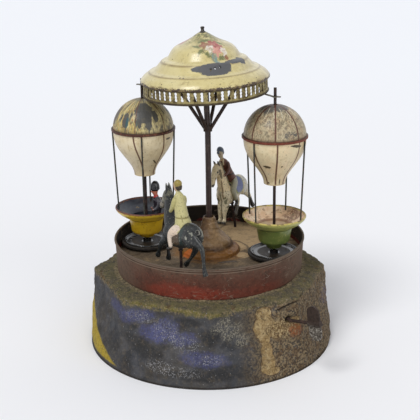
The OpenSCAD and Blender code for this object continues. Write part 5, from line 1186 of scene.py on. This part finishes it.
whiteHorse = {
    "place": ("white_horse_swivel", -122, 7),
    "trunk": [[18.6, 35, 2.4, 2], [17.2, 35.4, 6.2, 4.4], [14, 36.6, 9.4, 6.6], [7, 38, 10.6, 7.8],
        [0, 38.4, 10.8, 8.2], [-7, 39.4, 10.2, 7.8], [-13, 40.6, 10.4, 8], [-18, 41, 9.2, 7.8],
        [-22, 40, 6.6, 6], [-24.6, 39, 3.2, 3]],
    "muscles": [(12, 3.6, 37.5, 6.5, 4.2, 8.6), (-16.5, 4.2, 39, 8, 4.4, 9.4)],
    "neck": [[9, 37, 8.6, 5.6], [11.6, 46, 8, 4.8], [13.4, 55, 6.3, 4.1], [15, 62.5, 5.2, 3.5],
        [16.4, 68.5, 4.4, 3.1], [17, 71.5, 2.8, 2.2]],
    "head": [[15.4, 70.4, 1.6, 1.4], [17.4, 69.6, 3.8, 2.8], [21, 67.6, 4.6, 3.2], [24.6, 63.4, 3.9, 2.8],
        [28, 58.8, 2.9, 2.2], [30.4, 55.8, 2.9, 2.4], [32, 53.4, 1.7, 1.6]],
    "mane": [[2.4, 47, 1.6, 1], [4.4, 51.5, 2.6, 1.4], [6.2, 56, 2.2, 1.2], [7.6, 60, 2.8, 1.5],
        [9.2, 64.5, 2.2, 1.2], [11.4, 69, 2.6, 1.4], [14.4, 73, 1.6, 1.1]],
    "ear": [[17.2, 70.4, 1.7, 1.2, 1.9], [18.2, 73, 1.4, 1, 2.1], [19, 74.8, 0.9, 0.6, 2.2],
        [19.6, 76, 0.3, 0.25, 2.2]],
    "cheeks": [(21.4, 1.6, 64.8, 3, 2, 3.6)],
    "legs": [
        [[14, 34, 5.4, 3, 3.6], [18, 27.4, 3.8, 2.8, 3.2], [20.6, 23, 2.6, 2.1, 3], [21.6, 20, 1.9, 1.7, 3],
            [22.4, 17, 1.8, 1.6, 3], [24, 14.4, 2.4, 2.1, 3], [25.4, 12.4, 2.3, 2.1, 3]],
        [[13, 34, 5.4, 3, -3.6], [16.6, 27.4, 3.8, 2.8, -3.2], [19.2, 22.8, 2.6, 2.1, -3],
            [20.2, 19.6, 1.9, 1.7, -3], [20.9, 16.6, 1.8, 1.6, -3], [22.4, 13.8, 2.4, 2.1, -3],
            [23.8, 11.8, 2.3, 2.1, -3]],
        [[-16, 40, 9, 3.4, 4.4], [-19.4, 34, 6.2, 3.4, 4.8], [-22.6, 29, 3.6, 2.6, 5],
            [-25.6, 25, 2.5, 2, 5], [-27.6, 21, 1.7, 1.6, 5], [-28.8, 17.2, 1.8, 1.7, 5],
            [-29.8, 14.2, 2.4, 2.1, 5], [-30.8, 12.2, 2.3, 2, 5]],
        [[-17, 40, 9, 3.4, -4.4], [-16.6, 33, 6.2, 3.4, -4.6], [-16.6, 27, 3.4, 2.6, -4.5],
            [-17.4, 22.6, 2.4, 2, -4], [-14.8, 17, 1.7, 1.6, -3.7], [-11.8, 13, 1.8, 1.7, -3.6],
            [-9.6, 10.6, 2.4, 2, -3.6], [-8, 9.2, 1.6, 1.5, -3.6]]],
    "more": [
        ("tail", [[-22, 44.4, 1.8, 1.5], [-24.6, 43, 2.1, 1.8], [-26.2, 39.6, 2, 1.7], [-26.6, 36, 1.6, 1.3],
            [-26.2, 33, 0.8, 0.7]]),
        ("body", [[12.6, 33, 6.2, 5], [15.6, 28.4, 4.8, 4.2], [18, 25, 3.3, 3.3], [19.4, 23, 1.4, 1.8]])],
    "tones": {"ground": (214, 200, 166), "grey": (118, 120, 110), "dark": (42, 38, 34),
        "cloth": (104, 112, 150), "trim": (138, 144, 82), "warm": (150, 128, 96), "white": (206, 202, 190)},
    "coats": {"body": ("ground",), "neck": ((232, 211, 168),), "head": ((208, 191, 152),),
        "mane": ((150, 140, 116),), "ear": ("dark",), "leg": ("ground", "dark", 0.84),
        "tail": ("grey", "dark", 0.6)},
    "marks": [
        ((-20, 0, 40), (7, 12, 14), "white", 0, 0.5),
        ((-24, 4, 46), (4, 4, 4), "grey", 0, 0.9),
        ((-5, 0, 44), (9.5, 12, 10), "trim", 0.35, 0.04),
        ((-5.5, 0, 44), (7.6, 12.5, 8.4), "cloth", 0.2, 0.04),
        ((5.6, 0, 36), (1.4, 14, 16), "dark", 0.3, 0),
        ((23, 2.9, 65.6), (1.1, 1, 1), (24, 20, 18), 0.15, 0),
        ((31.4, 0, 54.4), (2, 3, 2.2), (58, 52, 46), 0, 0.2),
        ((30.8, 1.5, 55.8), (0.8, 0.8, 0.8), (24, 20, 18), -0.3, 0),
        ((-29, 5, 19), (6, 3, 7), "dark", 0, 0.2),
        ((-12, -3.7, 14), (5, 3, 6), (84, 78, 68), 0, 0.3),
        ((26.6, 0, 60.2), (0.9, 5, 1.2), (108, 88, 62), 0.22, 0),
        # darker sunk line down the chest crease: painted shade
        ((19.6, 0, 33), (2.4, 0.5, 11), (92, 84, 58), -0.25, 0.2),
        ((17, 4.4, 30), (2.2, 1.6, 8), (112, 108, 78), 0, 0.6),
        # darker sunk lines on the neck and under the cheek: painted shade in the creases
        ((18, 2.6, 47), (1.6, 0.6, 12), "warm", -0.15, 0.3),
        ((19, 3, 62), (3, 0.8, 6), (116, 102, 70), -0.15, 0.2)],
    "voxel": 0.42,
    "finish": ("whiteHorsePaint", 0.42, (96, 90, 72), 0.2, 0.5, 0.30)
}

darkRider = {
    "parts": [
        ("coat", [[-4.4, 43, 7.4, 8], [-4.4, 50, 7.2, 7.8], [-3, 56, 5.8, 6.6], [-1.4, 63, 5, 5.8],
            [0.2, 70, 4.6, 5.6], [1, 74.6, 4, 4.8], [1.6, 77.4, 2.4, 3], [1.8, 78.2, 1.6, 2]]),
        ("collar", [[1.2, 76, 2.6, 3], [1.5, 77.4, 2.5, 2.7], [1.8, 78.6, 2.1, 2.2]]),
        ("head", [[2, 77.6, 1.7, 1.7], [2.6, 79.4, 2, 1.9], [3.3, 81, 2.7, 2.4], [3.5, 83.4, 3.3, 2.8],
            [3.3, 86, 3.2, 2.8], [2.9, 88, 1.8, 1.6]]),
        ("head", [[6.2, 84.2, 0.5, 0.5], [6.7, 83.2, 0.6, 0.6], [6.5, 82.5, 0.4, 0.4]]),
        ("hair", [[-0.6, 80.4, 1, 1.8], [0.3, 81.8, 2.2, 2.9], [1.1, 83.6, 3, 3.2], [1.6, 85, 2.6, 2.8]]),
        ("cap", [[1.2, 83.8, 2.8, 2.8], [1.8, 85.6, 3.7, 3.4], [2.3, 87.6, 3.2, 3], [2.6, 89.2, 1.3, 1.2]])],
    "arm": [[0.4, 74.4, 2, 1.6, 4.6], [0.6, 71.2, 2.3, 2, 5.6], [2.6, 65.6, 2.1, 1.8, 6.2],
        [6.6, 61.4, 1.7, 1.5, 5], [10, 60, 1.3, 1.2, 3.4], [11.6, 59.6, 1.2, 1.1, 2.4]],
    "leg": [[-5, 49, 4.6, 2.8, 5], [-1, 45.6, 4.4, 2.9, 6.6], [4, 40.6, 3.5, 2.3, 7.6],
        [4.6, 35, 2.7, 1.9, 8], [3.8, 29.8, 2, 1.7, 8], [5, 27.6, 1.7, 1.6, 8.1],
        [8.6, 26.6, 1.2, 1.2, 8.2]],
    "coats": {"coat": ((190, 182, 128),), "collar": ((200, 192, 148),), "head": ((206, 168, 134),),
        "hair": ((52, 40, 26),), "cap": ((150, 132, 66),), "arm": ((182, 174, 116), (206, 168, 134), 0.88),
        "leg": ((222, 204, 186), (40, 32, 28), 0.66)},
    "marks": [
        ((6.1, 1.2, 84), (0.5, 0.5, 0.4), (40, 30, 26), 0, 0),
        ((6.2, 0, 81.6), (0.6, 0.9, 0.3), (150, 74, 62), 0, 0),
        ((-4, 0, 57.5), (9, 9, 0.7), (142, 132, 80), -0.2, 0),
        # darker sunk lines where the arms and legs meet the coat and down its back: painted shade in the
        # folds
        ((0.4, 3.4, 66), (1.6, 0.6, 9), (128, 118, 70), -0.3, 0.2),
        ((-7, 0, 50), (2.4, 0.5, 9), (134, 126, 76), -0.3, 0),
        ((-6, -3.6, 52), (3, 0.8, 7), (150, 142, 92), -0.2, 0.3),
        ((1, 7.6, 44.4), (7, 3, 3.4), (228, 206, 184), 0.1, 0.3)],
    "voxel": 0.3,
    "finish": ("darkRiderPaint", 0.42, (218, 214, 170), 0.2, 0.45)
}

whiteRider = {
    "parts": [
        ("coat", [[-3.4, 44, 6.8, 7.2], [-3, 50, 6.2, 6.6], [-0.6, 56, 5, 5.6], [2, 62, 4.6, 5.2],
            [4.6, 67.6, 4.4, 5.4], [6.2, 71.6, 3.6, 4.6], [6.8, 73.6, 2.4, 3], [7, 74.4, 1.6, 2]]),
        ("head", [[7, 73.8, 1.7, 1.8], [7.8, 75.8, 1.8, 1.8], [8.6, 77.2, 2.4, 2.2], [9, 79.6, 3.2, 2.8],
            [9.2, 82.4, 3.3, 2.9], [9, 84.6, 2.2, 2]]),
        ("head", [[11.9, 80.6, 0.5, 0.5], [12.4, 79.6, 0.6, 0.6], [12.1, 78.9, 0.4, 0.4]]),
        ("hair", [[5.6, 78.6, 1, 1.8], [6, 80.4, 1.6, 2.6], [6.6, 82.6, 2, 2.8]]),
        ("cap", [[8, 81.6, 3.2, 3], [8.4, 83, 3.7, 3.4], [8.8, 84.8, 3.4, 3.1], [9, 86.4, 2.2, 2],
            [9, 87.2, 1, 0.9]]),
        ("cap", [[10, 82.2, 0.9, 2.4], [12, 82.2, 0.6, 2.2], [13.6, 81.6, 0.4, 1.4]])],
    "arm": [[5.4, 71, 2, 1.6, 4.4], [6, 67.4, 2.1, 1.8, 5.6], [8.4, 62.4, 1.8, 1.6, 6],
        [12.2, 59.8, 1.5, 1.4, 4.8], [15.4, 59.4, 1.2, 1.1, 3.2]],
    "leg": [[-3, 48.6, 4.4, 2.8, 5.2], [2, 46.4, 4, 2.9, 7], [7.4, 42, 3.3, 2.3, 8.2],
        [7, 36.4, 2.6, 1.9, 8.8], [5.4, 30.6, 2, 1.7, 9], [6, 28.2, 1.7, 1.6, 9.1],
        [9.6, 26.8, 1.2, 1.2, 9.2]],
    "coats": {"coat": ((96, 56, 42),), "head": ((190, 176, 148),), "cap": ((78, 88, 102),),
        "hair": ((56, 50, 46),), "arm": ((88, 50, 38), (200, 178, 150), 0.88),
        "leg": ((150, 146, 122), (34, 30, 28), 0.6)},
    "marks": [
        ((11.7, 1.2, 80.6), (0.5, 0.5, 0.4), (40, 30, 26), 0, 0),
        ((11.8, 0, 78.2), (0.6, 0.9, 0.3), (150, 84, 72), 0, 0),
        ((9.4, 1.9, 71.4), (2.6, 0.8, 3.2), (212, 196, 160), 0.2, 0),
        ((10, 0, 74), (2.4, 2.4, 1.2), (196, 168, 128), 0.1, 0),
        ((8.6, 0, 65), (1.6, 0.5, 5), (60, 30, 24), 0.15, 0),
        ((-1, 0, 57), (8, 9, 0.9), (52, 28, 22), 0.2, 0),
        # darker sunk line where the arm meets the coat: painted shade
        ((6, 5.2, 65), (4, 0.9, 6), (60, 32, 24), -0.2, 0.3)],
    "voxel": 0.3,
    "finish": ("whiteRiderPaint", 0.42, (140, 98, 74), 0.2, 0.45)
}

passenger = {
    "place": (11.5, 3, 197),
    "parts": [
        ("coat", [[4.6, -24.2, 4, 4], [4.6, -17, 4.8, 4.8], [2.6, -9, 4.6, 5], [0.6, -2, 4, 4.6],
            [1, 4, 3.6, 4.4], [1.6, 7, 2.6, 3.2], [1.8, 8, 1.6, 2]]),
        ("collar", [[1.9, 7.2, 2.6, 2.8], [2.1, 8.6, 2.4, 2.5], [2.3, 9.6, 2, 2]]),
        ("head", [[2.2, 9, 1.8, 1.8], [2.6, 10.8, 2.3, 2.2], [3, 12.8, 3, 2.7], [3, 15.4, 3.4, 3.1],
            [2.8, 17.6, 2.4, 2.2]]),
        ("head", [[5.8, 13.9, 0.5, 0.5], [6.3, 13, 0.6, 0.6], [6, 12.3, 0.4, 0.4]]),
        ("hat", [[2.8, 14.6, 3.9, 3.8], [2.8, 15.8, 4.5, 4.3], [2.7, 18.6, 4.4, 4.2], [2.4, 21.6, 3.3, 3.2],
            [2.2, 23.4, 1.5, 1.4]])],
    "arm": [[0.4, 4.5, 1.8, 1.5, 4.2], [1.4, -0.6, 1.6, 1.4, 4.8], [4, -3.8, 1.3, 1.3, 4.2],
        [6.6, -4.2, 1, 1, 3]],
    "coats": {"coat": ((40, 34, 42),), "collar": ((172, 36, 30),), "head": ((208, 122, 100),),
        "hat": ((16, 16, 19),), "arm": ((70, 68, 74), (176, 118, 100), 0.85)},
    "marks": [
        ((3.6, 0, 12), (4, 4.4, 2.2), (214, 130, 106), 0, 0),
        ((5.7, 1.1, 13.9), (0.5, 0.5, 0.4), (40, 30, 26), 0, 0),
        ((5.8, 0, 11.4), (0.6, 0.9, 0.3), (150, 40, 38), 0, 0),
        ((5, 0, 2), (1.4, 0.4, 6), (20, 16, 20), 0.15, 0),
        ((2.8, 0, 16.2), (5.4, 5.4, 0.5), (44, 42, 46), 0.15, 0)],
    "voxel": 0.3,
    "finish": ("passengerPaint", 0.22, (128, 122, 126), 0.6, 0.4)
}


def castFigures():
    darkPlace = figurePlace(*darkHorse["place"])
    whitePlace = figurePlace(*whiteHorse["place"])
    castFigure("darkHorse", darkHorse, horseLimbs(darkHorse), darkPlace, "dark_horse", "dark_horse")
    castFigure("whiteHorse", whiteHorse, horseLimbs(whiteHorse), whitePlace, "white_horse", "white_horse")
    castFigure("darkRider", darkRider, personLimbs(darkRider), darkPlace, "dark_horse", "dark_rider")
    castFigure("whiteRider", whiteRider, personLimbs(whiteRider), whitePlace, "white_horse", "white_rider")
    right, back, heading = passenger["place"]
    seat = Matrix.Translation((leftAxis[0] + right, leftAxis[1] + back, nodeBox("gondola_left")[1][2]))
    seat = seat @ Matrix.Rotation(math.radians(heading), 4, "Z")
    castFigure("seatedPassenger", passenger, personLimbs(passenger), seat, "balloon_left", "passenger")


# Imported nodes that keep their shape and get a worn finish

def keyFinish():  # a dark upper wing and a lower wing worn to bare metal
    tones = {"dark": (60, 48, 42), "bare": (106, 100, 92), "rust": (44, 36, 30), "bright": (190, 184, 172)}
    f = Finish("wornKey", tones, 0.5, 0.2)
    low = f.step(f.wavy(f.split(f.place)[2], 8.0, 3.0, 4.0, 0.7), 60.0, 56.0)
    f.lay(low, "bare", 0.85, rough=0.36, metal=0.7)
    f.spots("rust", 0.8, 3.0, 0.42, 0.05, rough=0.7)
    f.spots("bright", 0.7, 1.6, 0.34, 0.04, 1, within=low, rough=0.3, metal=0.8)
    f.grain(1.4, 0.08)
    return f.close()


def dressNodes():
    brass = plainMetal("dullBrass", (184, 152, 84), (120, 98, 58), 0.38, 0.9, 6.0)
    screwBrass = plainMetal("dirtyBrass", (132, 118, 86), (84, 72, 52), 0.5, 0.8, 3.0)
    steel = plainMetal("drawnSteel", (150, 150, 148), (98, 92, 84), 0.36, 0.95, 4.0)
    blueSteel = plainMetal("bluedSteel", (84, 96, 124), (70, 60, 56), 0.3, 0.9, 5.0)
    alike = [(brass, "spindle_bush footstep_cup back_plate front_plate frame_pillars comb_bracket"),
             (brass, "ratchet_wheel spring_barrel barrel_cap crown_wheel second_wheel third_wheel"),
             (brass, "fan_vanes spindle_pinion music_drum"),
             (screwBrass, "pan_screws frame_screws comb_screws"),
             (steel, "pillar_nuts ratchet_click second_arbor third_arbor fan_arbor spindle"),
             (blueSteel, "music_comb mainspring")]
    finishes = {name: material for material, names in alike for name in names.split()}
    finishes |= {
        "board_tacks": plainMetal("dullIron", (74, 68, 62), (96, 66, 46), 0.62, 0.5, 4.0),
        "bottom_board": plainMetal("dryPine", (172, 142, 102), (128, 98, 64), 0.8, 0.0, 12.0),
        "winding_arbor": plainMetal("darkShank", (58, 46, 42), (92, 70, 58), 0.5, 0.3, 4.0),
        "deck": plainMetal("deckRim", (92, 80, 62), (66, 56, 44), 0.75, 0.0, 6.0),
        "post": plainMetal("brownPost", (54, 40, 36), (84, 68, 60), 0.36, 0.0, 7.0, 0.3, 0.25),
        "struts": plainMetal("brownStruts", (50, 38, 33), (80, 64, 54), 0.45, 0.0, 5.0),
        "hanger_arms": plainMetal("greyArms", (112, 106, 94), (74, 64, 52), 0.5, 0.4, 3.0),
        "finial": plainMetal("blackFinial", (52, 48, 46), (110, 106, 98), 0.45, 0.2, 2.0),
        "horse_pegs": plainMetal("blackPegs", (40, 32, 30), (82, 60, 52), 0.5, 0.3, 3.0),
        "rod_left": plainMetal("blackRodLeft", (40, 32, 30), (70, 54, 48), 0.45, 0.2, 6.0),
        "rod_right": plainMetal("blackRodRight", (44, 34, 31), (78, 60, 50), 0.45, 0.2, 6.0),
        "drum_pan": drumPaint(), "canopy": canopyPaint(), "gallery": galleryPaint(),
        "winding_key": keyFinish()}
    for side, axis in (("Left", leftAxis), ("Right", rightAxis)):
        tyre = plainMetal("hardTyre" + side, (34, 31, 29), (62, 56, 48), 0.6, 0.0, 4.0)
        made = {"envelope_top": balloonTopPaint(side, axis), "envelope_bottom": balloonLowPaint(side, axis),
                "rigging": riggingPaint(side), "gondola": gondolaPaint(side, axis),
                "friction_wheel": wheelPaint(side, axis), "tyre": tyre}
        finishes |= {name + "_" + side.lower(): material for name, material in made.items()}
    for name, material in finishes.items():
        materials = frame["nodes"][name].data.materials
        materials.clear()
        materials.append(material)
    print("nodes dressed", len(finishes))


# Camera, floor and lamps

def aimCamera():  # fitted to the photograph: yaw to the right, pitch down, roll clockwise
    values = {"place": (0.0, -861.5, 414.0), "pitch": 18.529, "yaw": 0.065, "roll": -0.793, "lens": 83.395}
    pitch, yaw, roll = (math.radians(values[name]) for name in ("pitch", "yaw", "roll"))
    ahead = np.array((math.sin(yaw) * math.cos(pitch), math.cos(yaw) * math.cos(pitch), -math.sin(pitch)))
    right = np.cross(ahead, (0, 0, 1))
    right /= np.linalg.norm(right)
    up = np.cross(right, ahead)
    across = math.cos(roll) * right + math.sin(roll) * up
    upright = -math.sin(roll) * right + math.cos(roll) * up
    camera = link("camera", bpy.data.cameras.new("camera"))
    matrix = np.eye(4)
    matrix[:3] = np.column_stack([across, upright, -ahead, np.array(values["place"]) / perMetre])
    camera.matrix_world = Matrix(matrix)
    camera.data.lens = values["lens"]
    camera.data.sensor_width = 36.0
    camera.data.clip_end = 50.0
    bpy.context.scene.camera = camera


# The floor's seen colour is painted light: the sweep of paper is whiter and bluer far behind the object than
# round its foot
def layFloor():
    values = {"half": 9000.0, "near": (0.925, 0.925, 0.94, 1.0), "far": (0.93, 0.945, 0.975, 1.0),
              "onObject": (0.72, 0.71, 0.70, 1.0), "start": 0.1, "end": 1.6}
    half = values["half"]
    corners = np.array([(-half, -half, 0), (half, -half, 0), (half, half, 0), (-half, half, 0)])
    mesh = buildMesh("floor", corners, [[0, 1, 2, 3]])
    link("floor", mesh)
    material = bpy.data.materials.new("paleFloor")
    material.use_nodes = True
    material.node_tree.nodes.clear()
    bench = Bench(material.node_tree)
    depth = bench.split(bench.add("TexCoord", {}).outputs["Object"])[1]
    paper = bench.mixColour(bench.step(depth, values["start"], values["end"]), values["near"], values["far"])
    tone = bench.mixColour(bench.seen(), values["onObject"], paper)
    bench.add("OutputMaterial", {"Surface": bench.add("BsdfDiffuse", {"Color": tone}).outputs[0]})
    mesh.materials.append(material)


def lightStudio():
    values = {"lamps": (("keyLamp", 1.55, 24.0, -38.0, 52.0), ("fillLamp", 0.75, 50.0, 34.0, 20.0),
                        ("backLamp", 0.3, 85.0, 165.0, 48.0)),
              "sky": (0.93, 0.95, 1.0, 1.0), "skyOnObject": 0.45}
    for name, strength, soft, turn, lift in values["lamps"]:
        lamp = bpy.data.lights.new(name, "SUN")
        lamp.energy = strength
        lamp.angle = math.radians(soft)
        link(name, lamp).rotation_euler = (math.radians(90 - lift), 0, math.radians(turn))
    world = bpy.data.worlds.new("studioSky")
    bpy.context.scene.world = world
    world.use_nodes = True
    world.node_tree.nodes.clear()
    bench = Bench(world.node_tree)
    strength = bench.mixValue(bench.seen(), values["skyOnObject"], 1.0)
    sky = bench.add("Background", {"Color": values["sky"], "Strength": strength})
    bench.add("OutputWorld", {"Surface": sky.outputs[0]})
    bpy.context.scene.view_settings.view_transform = "Standard"
    print("studio done")


aimCamera()
layFloor()
lightStudio()
dressNodes()
lumpyBase()
creasedDeck()
lumpyMound()
castFigures()
